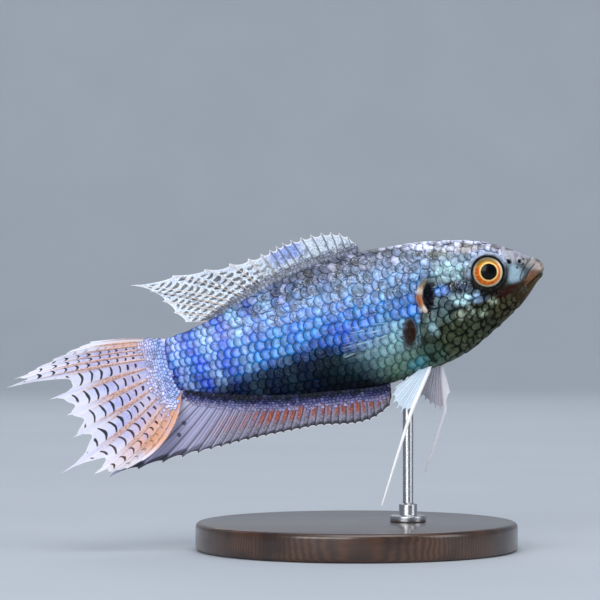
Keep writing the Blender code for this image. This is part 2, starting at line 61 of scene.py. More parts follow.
SWEEP_RADIUS = 0.75
SWEEP_CORNER = 0.3
SWEEP_WALL = 1.5

middle_x = (FRAME_PIXELS / 2 - AXIS_PIXEL[0]) / PIXELS_PER_MM * MM
middle_z = (AXIS_HEIGHT + (AXIS_PIXEL[1] - FRAME_PIXELS / 2) / PIXELS_PER_MM) * MM
bpy.ops.object.camera_add(location=(middle_x, -CAMERA_DISTANCE, middle_z), rotation=(math.pi / 2, 0, 0))
camera = bpy.context.object
camera.data.sensor_width = SENSOR
camera.data.lens = SENSOR * CAMERA_DISTANCE / (FRAME_PIXELS / PIXELS_PER_MM * MM)
camera.data.clip_start = 0.01
bpy.context.scene.camera = camera
bpy.context.scene.view_settings.view_transform = "Standard"


def linear(code):
    """A colour given as it looks on a screen, #rrggbb, as the light values that shaders use."""
    shown = np.array([int(code[i:i + 2], 16) for i in (1, 3, 5)]) / 255
    return np.where(shown > 0.04045, ((shown + 0.055) / 1.055) ** 2.4, shown / 12.92)


def put(tree, kind, *values, named=None, **settings):
    """A shader node with its settings, its inputs in order and inputs by name: values or sockets."""
    node = tree.nodes.new("ShaderNode" + kind)
    for name, value in settings.items():
        setattr(node, name, value)
    for key, value in [*enumerate(values), *(named or {}).items()]:
        if isinstance(value, bpy.types.NodeSocket):
            tree.links.new(value, node.inputs[key])
        elif value is not None:
            node.inputs[key].default_value = value
    return node


def tree_of(values):
    return next(value.id_data for value in values if isinstance(value, bpy.types.NodeSocket))


def over(under, share, colour, kind="MIX"):
    """A colour with another laid over it by a share: each is a code, light values or a socket."""
    under, colour = ((*linear(c), 1.0) if isinstance(c, str) else c for c in (under, colour))
    return put(
        tree_of((share, under, colour)), "Mix", share, named={6: under, 7: colour},
        data_type="RGBA", blend_type=kind, clamp_factor=True,
    ).outputs[2]


def in_millimetres(tree):
    place = put(tree, "TexCoord").outputs["Object"]
    return put(tree, "VectorMath", place, named={"Scale": 1 / MM}, operation="SCALE").outputs[0]


def noise(place, scale, detail=3.0, rough=0.55):
    named = {"Vector": place, "Scale": scale, "Detail": detail, "Roughness": rough}
    return put(place.id_data, "TexNoise", named=named).outputs["Fac"]


def feed(shader, **sockets):
    """Leads sockets to the shader's inputs of these names."""
    for name, socket in sockets.items():
        socket.id_data.links.new(socket, shader.inputs[name.replace("_", " ")])


def new_material(name, roughness=0.5, **more):
    """A material with its tree and its Principled shader, whose even values are set here."""
    made = bpy.data.materials.new(name)
    made.use_nodes = True
    shader = made.node_tree.nodes["Principled BSDF"]
    shader.inputs["Roughness"].default_value = roughness
    for socket, value in more.items():
        shader.inputs[socket.replace("_", " ")].default_value = value
    return made, made.node_tree, shader


def clad(obj, material):
    obj.data.materials.clear()
    obj.data.materials.append(material)


def select(*objects):
    """Selects these objects and no others, and takes the last of them in hand."""
    if bpy.context.object and bpy.context.object.mode != "OBJECT":
        bpy.ops.object.mode_set(mode="OBJECT")
    bpy.ops.object.select_all(action="DESELECT")
    for obj in objects:
        obj.select_set(True)
        bpy.context.view_layer.objects.active = obj


def select_rim():
    """Selects the open edges of the mesh at hand."""
    bpy.ops.object.mode_set(mode="EDIT")
    bpy.ops.mesh.select_mode(type="EDGE")
    bpy.ops.mesh.select_all(action="DESELECT")
    bpy.ops.mesh.select_non_manifold()


select()
bpy.ops.mesh.primitive_circle_add(vertices=96, radius=SWEEP_RADIUS, fill_type="NGON")
sweep = bpy.context.object
sweep.name = "studio_sweep"
select_rim()
reached, raised_by = SWEEP_RADIUS, 0.0
for turn in np.linspace(0, math.pi / 2, 13)[1:]:
    radius = SWEEP_RADIUS + SWEEP_CORNER * math.sin(turn)
    height = SWEEP_CORNER * (1 - math.cos(turn))
    bpy.ops.mesh.extrude_edges_move(TRANSFORM_OT_translate={"value": (0, 0, height - raised_by)})
    bpy.ops.transform.resize(value=(radius / reached, radius / reached, 1))
    reached, raised_by = radius, height
bpy.ops.mesh.extrude_edges_move(TRANSFORM_OT_translate={"value": (0, 0, SWEEP_WALL)})
bpy.ops.object.mode_set(mode="OBJECT")
bpy.ops.object.shade_smooth()
paper, tree, shader = new_material("pale_paper", 0.85, Specular_IOR_Level=0.2)
feed(shader, Base_Color=over("#b0b7bf", noise(in_millimetres(tree), 0.02, 2.0), "#b8bec6"))
clad(sweep, paper)

# Soft boxes: name, place and aim in metres, width, height, watts.
ON_FISH = (middle_x, 0, middle_z)
SOFT_BOXES = (
    ("overhead_box", (0.05, -0.20, 0.60), ON_FISH, 0.45, 0.45, 1.9),
    ("front_box", (-0.28, -0.60, 0.30), ON_FISH, 0.5, 0.4, 2.8),
    ("side_box", (0.50, -0.22, 0.26), ON_FISH, 0.25, 0.4, 0.9),
    ("rear_box", (-0.1, 0.55, 0.45), ON_FISH, 0.5, 0.3, 0.7),
    ("sweep_box", (0.0, 0.45, 0.70), (0, 1.0, 0.05), 0.6, 0.3, 1.6),
)
for name, place, aim, width, height, watts in SOFT_BOXES:
    bpy.ops.object.light_add(type="AREA", location=place)
    box = bpy.context.object
    box.name = name
    box.data.shape = "RECTANGLE"
    box.data.size = width
    box.data.size_y = height
    box.data.energy = watts
    box.rotation_euler = (Vector(aim) - Vector(place)).to_track_quat("-Z", "Y").to_euler()
room = bpy.data.worlds.new("room")
bpy.context.scene.world = room
room.use_nodes = True
glow = room.node_tree.nodes["Background"].inputs
glow["Color"].default_value = (0.80, 0.88, 1.0, 1)
glow["Strength"].default_value = 0.62


# Display stand: a round base turned from one piece of dark wood and varnished, with a brushed steel
# rod that is screwed into it through a flange and ends against the belly.
PITCH = math.radians(14.4)
BASE_RADIUS = 23.0
BASE_THICKNESS = 4.0
BASE_GROOVE = 19.6  # radius of the turned groove in its top
ROD_RADIUS = 0.75
FLANGE_RADIUS = 2.6
FLANGE_THICKNESS = 0.9
COLLAR_RADIUS = ROD_RADIUS + 0.55
COLLAR_HEIGHT = 1.6
COLLAR_SLOPE = 0.12
ROD_SINK = 0.75  # how far the rod's end goes up past its solid, into the belly's scales


def finish_piece(obj, material, slot, *nodes):
    """Gives a piece its material, hides the nodes that it stands for, if any, and fixes it to the
    object's one body. slot, the name of its finish, is not used."""
    clad(obj, material)
    if nodes:
        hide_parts(*nodes)
    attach(obj, "root")


def turned_disc(name, radius, thickness, x, foot, vertices):
    """An upright round slab, in millimetres but for its place x, which is in metres."""
    select()
    bpy.ops.mesh.primitive_cylinder_add(
        vertices=vertices, radius=radius * MM, depth=thickness * MM,
        location=(x, 0, (foot + thickness / 2) * MM),
    )
    obj = bpy.context.object
    obj.name = name
    bpy.ops.object.transform_apply(location=True, rotation=True, scale=True)
    return obj


def top_faces(obj, height, outer):
    """Selects the faces that look up at a height within a radius, in millimetres."""
    bpy.ops.object.mode_set(mode="OBJECT")
    for face in obj.data.polygons:
        centre = obj.matrix_world @ face.center
        near = abs(centre.z - height * MM) < 0.05 * MM
        face.select = near and face.normal.z > 0.9 and math.hypot(centre.x, centre.y) < outer * MM
    bpy.ops.object.mode_set(mode="EDIT")
    bpy.ops.mesh.select_mode(type="FACE")


def round_edges(obj, width, segments, angle):
    """Rounds the edges that turn by more than an angle, in degrees, by a width in millimetres."""
    bpy.ops.object.mode_set(mode="OBJECT")
    edges = obj.modifiers.new("turned_edges", "BEVEL")
    edges.width = width * MM
    edges.segments = segments
    edges.limit_method = "ANGLE"
    edges.angle_limit = math.radians(angle)
    bpy.ops.object.modifier_apply(modifier="turned_edges")
    bpy.ops.object.shade_smooth_by_angle(angle=math.radians(30))


def between(value, low, high, bottom=0.0, top=1.0):
    """The value's share of the way from low to high, eased at both ends, drawn out to bottom and top."""
    ends = (low, high, bottom, top)
    return put(value.id_data, "MapRange", value, *ends, interpolation_type="SMOOTHSTEP").outputs[0]


def stretched(place, factors):
    return put(place.id_data, "VectorMath", place, factors, operation="MULTIPLY").outputs[0]


def bumps(shader, height, strength, depth):
    """Bumps the surface by a height, to a depth in millimetres."""
    named = {"Strength": strength, "Distance": depth * MM, "Height": height}
    feed(shader, Normal=put(height.id_data, "Bump", named=named).outputs[0])


base = turned_disc("stand_base_wood", BASE_RADIUS, BASE_THICKNESS, 0, 0, vertices=128)
top_faces(base, BASE_THICKNESS, BASE_RADIUS)
for inset, drop in ((BASE_RADIUS - BASE_GROOVE, 0), (0.25, -0.35), (0.5, 0), (0.25, 0.35), (4.0, 0)):
    bpy.ops.mesh.inset(thickness=inset * MM, depth=drop * MM)
round_edges(base, width=0.7, segments=5, angle=60)

varnished, tree, shader = new_material("varnished_wood", 0.34, Coat_Weight=0.6, Coat_Roughness=0.12)
place = in_millimetres(tree)
drawn = stretched(place, (0.05, 1.0, 0.6))
waver = noise(drawn, 0.35)
named = {"Vector": drawn, "Scale": 0.9, "Distortion": 5.0, "Detail": 3.0, "Detail Scale": 0.8}
grain = put(tree, "TexWave", named=named, wave_type="BANDS", bands_direction="Y").outputs["Fac"]
pores = noise(stretched(place, (0.4, 6.0, 3.0)), 1.2, 4.0)
colour = over("#3a2416", grain, "#5b3a23")
colour = over(colour, between(waver, 0.35, 0.7), "#2b190f")
colour = over(colour, between(pores, 0.62, 0.74, 0.0, 0.7), "#160c07")
feed(shader, Base_Color=colour)
bumps(shader, pores, strength=0.15, depth=0.08)
finish_piece(base, varnished, "stand_wood", "stand_base")

rod_low, rod_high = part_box("stand_rod")
rod_x = (rod_low.x + rod_high.x) / 2
rod = turned_disc("stand_rod_steel", FLANGE_RADIUS, FLANGE_THICKNESS, rod_x, BASE_THICKNESS, vertices=64)
top_faces(rod, BASE_THICKNESS + FLANGE_THICKNESS, BASE_RADIUS)
bpy.ops.mesh.inset(thickness=(FLANGE_RADIUS - COLLAR_RADIUS) * MM)
bpy.ops.mesh.extrude_region_move(TRANSFORM_OT_translate={"value": (0, 0, COLLAR_HEIGHT * MM)})
bpy.ops.mesh.inset(thickness=(COLLAR_RADIUS - ROD_RADIUS) * MM, depth=COLLAR_SLOPE * MM)
rod_foot = (BASE_THICKNESS + FLANGE_THICKNESS + COLLAR_HEIGHT + COLLAR_SLOPE) * MM
rod_rise = rod_high.z + ROD_SINK * MM - rod_foot
bpy.ops.mesh.extrude_region_move(TRANSFORM_OT_translate={"value": (0, 0, rod_rise)})
round_edges(rod, width=0.16, segments=3, angle=50)

brushed, tree, shader = new_material("brushed_steel", 0.3, Metallic=1.0)
strokes = noise(stretched(in_millimetres(tree), (0.6, 0.6, 14.0)), 2.0, 2.0)
feed(shader, Base_Color=over("#a9aaad", strokes, "#c9cacc"))
feed(shader, Roughness=between(strokes, 0.2, 0.8, 0.2, 0.42))
finish_piece(rod, brushed, "stand_steel", "stand_rod")


# Body: one skin from the lips to the rounded end of the tail stalk, with the gill covers, the jaws,
# the eye sockets, the nostrils and the folds of the throat as relief in it. Real skin there is thin
# and glossy over bone, and lies under the scales everywhere else.
SKIN_INSET = 0.16  # the scales' depth, by which the skin lies inside the solids
BODY = (  # place, back, belly, half width, height where the section is widest
    (27.60, 0.25, -0.35, 0.30, -0.05),
    (27.25, 0.95, -0.80, 0.85, -0.05),
    (26.00, 2.05, -2.15, 1.65, 0.00),
    (24.00, 3.60, -3.95, 2.45, 0.10),
    (20.00, 5.75, -6.40, 3.60, 0.20),
    (14.00, 7.50, -9.20, 4.45, -0.80),
    (6.00, 8.50, -10.40, 4.60, -1.30),
    (2.00, 8.70, -10.75, 4.40, -1.30),
    (-6.00, 8.20, -9.80, 3.85, -1.00),
    (-14.00, 6.50, -8.40, 2.90, -0.90),
    (-22.00, 4.25, -6.10, 1.75, -0.60),
    (-26.40, 3.65, -4.35, 0.95, -0.35),
)
ROUNDNESS = (  # place, how the section closes above and below: over 1 is a ridge, under 1 is flat
    (27.60, 0.90, 0.90),
    (18.00, 0.85, 1.00),
    (8.00, 0.95, 0.85),
    (0.00, 1.05, 1.00),
    (-12.00, 1.15, 1.25),
    (-27.00, 1.20, 1.20),
)
TAIL_ROOT = -26.4
TAIL_REACH = 1.95  # how far the stalk's rounded end goes past its root
TAIL_SQUARE = 3.4  # how squarely the stalk's end closes in the side view
TAIL_TAPER = 0.65  # share of its half width that is lost by there
BEND_START = -4.0
BEND_END = -28.0
BEND_SIDE = -1.7  # how far to the right the body's middle has swung at the end

EYE_PLACE = (19.45, 2.62, 1.28)
EYE_RADIUS = 2.25
EYE_DEPTH = 1.5
RIM_RADIUS = 2.5  # of the raised rim round the eye
MOUTH = ((27.75, -0.42), (27.0, -0.72), (26.2, -1.12), (25.3, -1.58), (24.6, -1.95))
LIP_OFFSET = 0.34  # from the line of the mouth to the crests of the lips
UPPER_JAW_FOLDS = (
    ((26.11, 1.7), (25.41, 1.15), (24.83, 0.64), (24.36, 0.14), (23.92, -0.49), (23.74, -0.96)),
    ((26.31, 0.69), (25.61, 0.2), (25.16, -0.25), (24.6, -0.95)),
)
NOSTRILS = ((22.88, 1.93, 0.34), (24.35, 1.65, 0.3))
PORES = (
    (24.97, 1.79), (24.73, 1.13), (23.74, 0.85), (22.68, 2.24),
    (17.12, 2.49), (14.69, 3.03), (14.69, -2.06), (16.6, -0.4),
)
SWELLINGS = (  # cheek, upper lip twice, lower lip, dent between the lips' tips: place, radius, height
    (17.6, -3.4, 2.4, 0.14), (26.6, 1.0, 0.6, 0.16), (27.2, 0.55, 0.5, 0.18), (27.0, -1.05, 0.5, 0.16),
    (27.62, -0.1, 0.28, -0.1),
)
COVER_EDGE = (  # rear edge of the gill cover, top to bottom
    (11.9, 3.6), (11.32, 2.99), (9.85, 1.89), (9.08, 0.32), (9.15, -1.78),
    (8.4, -3.19), (7.97, -5.44), (8.09, -7.25), (8.6, -9.0), (10.2, -9.9),
)
COVER_SPOT = (10.45, 0.0, 0.85, 2.0, -12)  # the cover's dark ear-shaped spot: place, size, turn
COVER_CRESCENT = ((10.5, 2.35), (9.5, 1.3), (9.08, 0.2), (9.1, -0.95), (9.5, -1.85))  # its copper rim
PECTORAL_BASE = (6.6, -4.3, 1.0, 2.2, -14)  # the fin's fleshy foot: place, size, turn
COVER_STEP = 0.42  # depth of the body behind the cover's edge
CHEEK_FOLDS = (  # edges of the cheek's bones: points, width, depth
    (((16.6, 0.2), (15.5, -2.2), (15.9, -4.6), (17.6, -6.0), (20.0, -6.2)), 0.2, 0.16),
    (((11.2, -5.2), (14.3, -6.34), (17.14, -7.07), (20.4, -6.9), (22.4, -5.1)), 0.2, 0.26),
    (((24.6, -1.4), (23.2, -2.3), (22.1, -3.5), (21.4, -5.4)), 0.16, 0.16),
    (((12.0, -8.0), (15.0, -8.3), (18.5, -7.6)), 0.16, 0.14),
)


def smooth(table, column, x):
    """One column of a table at every x, on a smooth line through its rows."""
    rows = np.array(sorted(table), float)
    xs, ys = rows[:, 0], rows[:, column]
    slopes = np.gradient(ys, xs)
    i = np.clip(np.searchsorted(xs, x) - 1, 0, len(xs) - 2)
    h = xs[i + 1] - xs[i]
    t = np.clip((x - xs[i]) / h, 0, 1)
    rise = t * t * (3 - 2 * t)
    lean = slopes[i] * t * (1 - t) ** 2 - slopes[i + 1] * t * t * (1 - t)
    return ys[i] * (1 - rise) + ys[i + 1] * rise + h * lean


def bend(x):
    """Sideways place of the body's middle, which swings to the right towards the tail."""
    return BEND_SIDE * np.maximum(0, (BEND_START - x) / (BEND_START - BEND_END)) ** 2


def section(x, inset=0.0):
    """Back, belly, half width and widest height of the body at every x."""
    back, belly, half, widest = (smooth(BODY, c, np.maximum(x, TAIL_ROOT)) for c in (1, 2, 3, 4))
    past = np.clip((TAIL_ROOT - x) / TAIL_REACH, 0, 1)
    end = (1 - past**TAIL_SQUARE) ** (1 / TAIL_SQUARE)
    half = half * (1 - TAIL_TAPER * past)
    back = widest + (back - widest) * end - inset
    belly = widest - (widest - belly) * end + inset
    return back, belly, np.maximum(half - inset, 0.05), widest


def plain_skin(x, angle):
    """Points of the body without relief: an angle of 90 degrees is the back, 0 the left side."""
    back, belly, half, widest = section(x, SKIN_INSET)
    up, out = np.sin(angle), np.cos(angle)
    power = np.where(up > 0, smooth(ROUNDNESS, 1, x), smooth(ROUNDNESS, 2, x))
    side = np.copysign(np.abs(out) ** power, out)
    reach = np.where(up > 0, back - widest, widest - belly)
    return np.stack([x, bend(x) + half * side, widest + reach * up], -1)


def ease(value, low, high):
    t = np.clip((value - low) / (high - low), 0, 1)
    return t * t * (3 - 2 * t)


def hump(distance, width):
    return np.exp(-((distance / width) ** 2))


def trail(x, z, points):
    """Distance in the side view from a line through points, and the share of the line passed there."""
    best, passed = np.full(np.shape(x), 1e9), np.zeros(np.shape(x))
    for i, ((ax, az), (bx, bz)) in enumerate(zip(points, points[1:])):
        dx, dz = bx - ax, bz - az
        t = np.clip(((x - ax) * dx + (z - az) * dz) / (dx * dx + dz * dz), 0, 1)
        distance = np.hypot(x - ax - t * dx, z - az - t * dz)
        nearer = distance < best
        best = np.where(nearer, distance, best)
        passed = np.where(nearer, (i + t) / (len(points) - 1), passed)
    return best, passed


def behind_cover(x, z):
    """How far a place lies behind the gill cover's rear edge."""
    heights, places = zip(*sorted((pz, px) for px, pz in COVER_EDGE))
    return np.interp(z, heights, places) - x


def eye_distance(x, z):
    return np.hypot(x - EYE_PLACE[0], z - EYE_PLACE[2])


def relief(x, z):
    """How far the head's features raise or sink the skin, by place in the side view."""
    from_eye = eye_distance(x, z)
    depth = -1.3 * (1 - ease(from_eye, 1.95, 2.3))
    depth += 0.26 * hump(from_eye - RIM_RADIUS, 0.2) - 0.12 * hump(from_eye - RIM_RADIUS - 0.5, 0.25)
    distance, passed = trail(x, z, MOUTH)
    depth += 0.13 * hump(distance - LIP_OFFSET, 0.24) * (1 - 0.5 * passed)
    depth -= (0.03 + 0.23 * ease(27.4 - x, 0.0, 1.1)) * hump(distance, 0.1)
    for fold in UPPER_JAW_FOLDS:
        distance, passed = trail(x, z, fold)
        depth -= 0.15 * hump(distance, 0.13) * np.sqrt(np.clip(4 * passed * (1 - passed) + 0.2, 0, 1))
        depth += 0.05 * hump(distance - 0.3, 0.2)
    for px, pz, radius in NOSTRILS:
        distance = np.hypot(x - px, z - pz)
        hole = 0.55 * (1 - ease(distance, radius * 0.6, radius))
        depth += 0.1 * hump(distance - radius * 1.25, 0.14) - hole
    for px, pz, radius, height in SWELLINGS + tuple((*pore, 0.15, -0.2) for pore in PORES):
        depth += height * hump(np.hypot(x - px, z - pz), radius)
    for points, width, fall in CHEEK_FOLDS:
        distance, _ = trail(x, z, points)
        depth -= fall * hump(distance, width)
    behind = behind_cover(x, z)
    covered = ease(z, -10.2, -8.6) * (1 - ease(z, 2.6, 3.7))
    depth -= COVER_STEP * covered * np.where(behind > 0, ease(behind, 0, 0.16) * np.exp(-behind / 1.5), 0)
    depth += 0.1 * covered * np.where(behind < 0, np.exp(behind / 0.7), np.exp(-behind / 0.06))
    from_rim, passed = trail(x, z, COVER_CRESCENT)
    depth += 0.2 * hump(from_rim, 0.34) - 0.12 * oval(x, z, COVER_SPOT, 0.3)
    depth += 0.3 * oval(x, z, PECTORAL_BASE, 0.5)
    return depth


def surface(x, angle, lift=0.0):
    """Points of the body with its relief, raised along its outward direction by a lift."""
    step = 0.012
    at = plain_skin(x, angle)
    along = plain_skin(x + step, angle) - plain_skin(x - step, angle)
    across = plain_skin(x, angle + step) - plain_skin(x, angle - step)
    out = np.cross(across, along)
    out /= np.maximum(np.linalg.norm(out, axis=-1, keepdims=True), 1e-12)
    return at + out * (relief(at[..., 0], at[..., 2]) + lift)[..., None]


def onto_stand(points):
    """Points of the level fish, pitched up and lifted over the base, in metres."""
    points = np.asarray(points, float)
    x, y, z = points[..., 0], points[..., 1], points[..., 2]
    turned = (x * math.cos(PITCH) - z * math.sin(PITCH), y, x * math.sin(PITCH) + z * math.cos(PITCH))
    return (np.stack(turned, -1) + (0, 0, AXIS_HEIGHT)) * MM


# Markings of the skin and the scales alike. The ground runs from the belly to the back; each wash is
# a soft oval laid over it: place, length, height, turn in degrees, colour, strength.
GROUND = (
    (-1.0, "#171b1d"), (-0.72, "#141d26"), (-0.45, "#2a4a72"), (-0.18, "#407dd8"),
    (0.15, "#4e8ae2"), (0.45, "#6a92cf"), (0.72, "#4d648c"), (1.0, "#52586e"),
)
TRUNK_WASHES = (
    (-9.0, -7.2, 12.5, 4.2, 6, "#111a24", 0.92),
    (4.6, 4.0, 7.0, 3.2, 0, "#7a98c0", 0.7),
    (1.0, -6.2, 6.0, 2.6, -4, "#2f4a52", 0.6),
    (4.8, -5.0, 5.4, 3.2, -8, "#94c0c8", 0.8),
    (6.0, -8.6, 5.0, 2.4, -4, "#648676", 0.9),
    (-1.5, -2.6, 4.6, 1.7, -6, "#4767d6", 0.55),
    (-2.0, 7.6, 9.0, 1.3, -4, "#575e72", 0.6),
    (-13.5, -1.2, 6.0, 2.0, 6, "#58a0ee", 0.6),
    (-20.5, 2.6, 3.0, 1.4, 0, "#9fb8e8", 0.5),
    (-22.5, -0.6, 7.5, 4.2, 0, "#7397f6", 0.4),
    (9.4, -3.2, 0.9, 1.6, 0, "#3a2c1c", 0.7),
)
BANDS = (  # across the tail stalk: place, half width, colour, strength
    (-28.4, 0.6, "#b4aee6", 0.95),
    (-27.3, 0.5, "#23308c", 0.9),
    (-25.9, 0.9, "#9db6f6", 0.8),
    (-23.8, 1.2, "#4468ea", 0.75),
    (-21.5, 0.9, "#a3c2f8", 0.7),
    (-19.2, 1.1, "#4a70ea", 0.75),
    (-16.8, 1.0, "#94c2f6", 0.7),
    (-14.2, 1.1, "#4472e4", 0.5),
    (-12.0, 0.9, "#86b8ee", 0.45),
    (-9.4, 1.0, "#4470dc", 0.4),
)
HEAD_WASHES = (
    (16.5, 6.6, 9.0, 1.6, -14, "#d4dcff", 0.95),
    (23.0, 3.6, 3.4, 1.2, -30, "#b6b4c4", 0.9),
    (18.0, -5.6, 6.4, 4.6, 34, "#2c3020", 0.95),
    (13.0, -6.0, 4.4, 3.6, 0, "#343b2a", 0.95),
    (21.6, -3.6, 3.4, 1.9, 40, "#33301e", 0.9),
    (14.6, 3.6, 3.2, 1.7, -6, "#8aa3b4", 0.9),
    (13.8, 2.6, 1.7, 1.3, 0, "#a9d0da", 0.9),
    (15.6, 2.3, 1.3, 1.0, 0, "#9cc6cf", 0.8),
    (17.4, 5.3, 1.9, 0.75, -10, "#7b7358", 0.75),
    (13.3, 5.7, 1.7, 0.8, 0, "#6d735f", 0.7),
    (12.6, 0.45, 1.2, 0.75, 8, "#4f86dc", 0.9),
    (14.0, 0.8, 0.9, 0.7, 0, "#4b4632", 0.7),
    (15.4, 0.2, 1.0, 0.9, 0, "#2b3550", 0.8),
    (14.9, -1.55, 1.2, 0.75, 0, "#a6cbd2", 0.9),
    (17.3, -1.9, 1.3, 0.6, -6, "#7fa4c4", 0.85),
    (19.2, -2.0, 2.4, 0.9, 4, "#191310", 0.85),
    (12.0, -2.2, 1.1, 1.9, 0, "#3e5052", 0.8),
    (16.5, 1.5, 0.9, 1.3, 10, "#24352f", 0.9),
    (16.7, -0.2, 1.2, 0.8, 20, "#26323e", 0.75),
    # pale greenish spots on the lower cheek's scales: partly their own tone, partly painted highlights
    (19.1, -2.8, 0.6, 0.5, 0, "#8f9c84", 0.6),
    (17.3, -4.1, 0.6, 0.5, 0, "#8b9880", 0.6),
    (15.7, -3.6, 0.6, 0.6, 0, "#9aa690", 0.6),
    (14.2, -3.6, 0.5, 0.8, 0, "#a3b09c", 0.6),
    (9.9, -4.3, 0.7, 1.2, 10, "#8fb8c0", 0.7),
    (23.0, 0.2, 1.2, 1.4, 20, "#a5c4d6", 0.9),
    (23.4, 2.6, 1.8, 0.8, -30, "#b9bcc8", 0.7),
    (21.9, -1.9, 2.2, 0.6, 14, "#34140c", 0.9),
    (24.2, -2.3, 2.0, 1.2, 40, "#3d311b", 0.85),
    (25.5, -0.75, 1.5, 0.6, 40, "#85573a", 0.85),
    (25.4, -2.6, 2.4, 0.6, 44, "#5a4424", 0.85),
    (26.3, 0.9, 1.3, 0.9, -30, "#a69f9c", 0.8),
    (27.1, 0.35, 0.8, 0.6, 0, "#c6b6ae", 0.9),
    (27.3, -0.4, 0.5, 0.35, 20, "#94805c", 0.7),
    (8.4, -8.2, 2.4, 1.8, 0, "#3e5c50", 0.7),
    (6.6, -9.0, 1.5, 0.7, 10, "#3f9fb4", 0.6),
    (20.0, 6.2, 1.4, 0.5, -25, "#6e6a60", 0.6),
)


def lay(colour, share, code):
    return colour + (linear(code) - colour) * np.clip(share, 0, 1)[..., None]


def oval(x, z, place, soft=0.45):
    px, pz, length, height, turn = place
    c, s = math.cos(math.radians(turn)), math.sin(math.radians(turn))
    along, up = (x - px) * c + (z - pz) * s, (z - pz) * c - (x - px) * s
    return 1 - ease(np.hypot(along / length, up / height), 1 - soft, 1 + soft)


def pigment(x, z):
    """The body's colour at a place in the side view."""
    back, belly, _, widest = section(x)
    height = np.where(z > widest, (z - widest) / (back - widest), (z - widest) / (widest - belly))
    levels = [level for level, _ in GROUND]
    ground = np.array([linear(code) for _, code in GROUND])
    colour = np.stack([np.interp(height, levels, ground[:, i]) for i in range(3)], -1)
    for *place, code, strength in TRUNK_WASHES:
        colour = lay(colour, strength * oval(x, z, place), code)
    lean = x + 0.12 * (z + 0.8) + 0.25 * np.sin(z * 1.7)
    fading = 1 - 0.9 * ease(-z - 0.2 * np.maximum(-x - 16, 0), 2.4, 4.8)
    for place, width, code, strength in BANDS:
        colour = lay(colour, strength * hump(lean - place, width) * fading, code)
    head = ease(-behind_cover(x, z), -0.5, 0.3)
    colour = lay(colour, 0.9 * head * (1 - ease(z, 2.0, 5.0)), "#4a5446")
    for *place, code, strength in HEAD_WASHES:
        colour = lay(colour, strength * oval(x, z, place), code)
    from_eye = eye_distance(x, z)
    above = ease(z - EYE_PLACE[2] - 0.1 * (x - EYE_PLACE[0]), -0.6, 0.8)
    colour = lay(colour, above * hump(from_eye - 2.85, 0.42), "#bccde8")
    # Painted shade: a dark crescent below the eye, in the hollow under its rim.
    colour = lay(colour, (1 - above) * 0.9 * hump(from_eye - 2.75, 0.45), "#1a1612")
    colour = lay(colour, 0.95 * (1 - ease(np.abs(from_eye - 2.3), 0.12, 0.26)), "#0c0a0a")
    colour = lay(colour, oval(x, z, COVER_SPOT, 0.22), "#070b16")
    from_rim, passed = trail(x, z, COVER_CRESCENT)
    rim_half = 0.2 + 0.16 * np.sin(math.pi * passed)
    copper = 1 - ease(from_rim, rim_half, rim_half + 0.14)
    # Painted highlights: both ends of the raised copper rim are lightened almost to white.
    ends = np.maximum(hump(passed - 0.28, 0.1), hump(passed - 0.92, 0.12))
    colour = lay(colour, copper, "#b26a34")
    colour = lay(colour, copper * ends, "#f3e6d2")
    colour = lay(colour, copper * hump(passed, 0.16), "#6f7560")
    colour = lay(colour, oval(x, z, PECTORAL_BASE, 0.3), "#2c160a")
    mottle = np.sin(1.9 * x + 1.1 * z) * np.sin(2.3 * z - 0.8 * x + 2)
    mottle += 0.5 * np.sin(4.1 * x + 0.6) * np.sin(3.3 * z)
    upper = ease(height, 0.45, 0.85) * ease(x, -18, -8)
    colour = lay(colour, 0.75 * upper * ease(mottle, 0.1, 0.7), "#4f4e48")
    return lay(colour, 0.55 * upper * ease(-mottle, 0.3, 0.9), "#bcbad4")


def outwards():
    """Turns the faces of the mesh at hand outwards."""
    bpy.ops.object.mode_set(mode="EDIT")
    bpy.ops.mesh.select_all(action="SELECT")
    bpy.ops.mesh.normals_make_consistent(inside=False)
    bpy.ops.object.mode_set(mode="OBJECT")


select()
places = [  # of the skin's rings, closer where the head's relief is finer
    *np.linspace(27.6, 27.0, 14), *np.linspace(26.95, 19.0, 84)[1:], *np.linspace(19.0, 7.0, 100)[1:],
    *np.linspace(7.0, -26.2, 64)[1:],
    *(TAIL_ROOT - TAIL_REACH * s for s in (0, 0.3, 0.5, 0.7, 0.82, 0.9, 0.95, 0.98, 0.995)),
]
AROUND = 320
bpy.ops.mesh.primitive_uv_sphere_add(segments=AROUND, ring_count=len(places) + 1, radius=1)
skin = bpy.context.object
skin.name = "fish_skin"
ball = np.empty(len(skin.data.vertices) * 3)
skin.data.vertices.foreach_get("co", ball)
ball = ball.reshape(-1, 3)
ring = np.rint(np.arccos(np.clip(ball[:, 2], -1, 1)) * (len(places) + 1) / math.pi).astype(int)
x = np.array(places)[np.clip(ring, 1, len(places)) - 1]
points = surface(x, np.arctan2(ball[:, 1], ball[:, 0]))
poles = (ring == 0) | (ring == len(places) + 1)
points[poles] = np.stack([x, bend(x), section(x)[3]], -1)[poles]
skin.data.vertices.foreach_set("co", onto_stand(points).ravel())
outwards()
bpy.ops.object.shade_smooth()


def is_bare(x, z):
    """Where the skin shows without scales: snout, jaws, round the eye and on the cover's dark spot."""
    from_eye = eye_distance(x, z)
    snout = (x - 0.35 * z > 20.9) & (z > -2.3)
    jaw = (x > 21.5) & (z < -1.0) & (x + 0.9 * z > 19.3)
    spot = (oval(x, z, COVER_SPOT, 0.05) > 0.5) | (trail(x, z, COVER_CRESCENT)[0] < 0.42)
    return (from_eye < 3.0) | snout | jaw | spot | (oval(x, z, PECTORAL_BASE, 0.05) > 0.5)


def paint(mesh, name, colours):
    layer = mesh.color_attributes.new(name, "FLOAT_COLOR", "POINT")
    full = np.ones((len(mesh.vertices), 4))
    full[:, :3] = colours
    layer.data.foreach_set("color", full.ravel())


def measure(mesh, name, values):
    layer = mesh.attributes.new(name, "FLOAT", "POINT")
    layer.data.foreach_set("value", np.asarray(values, float))


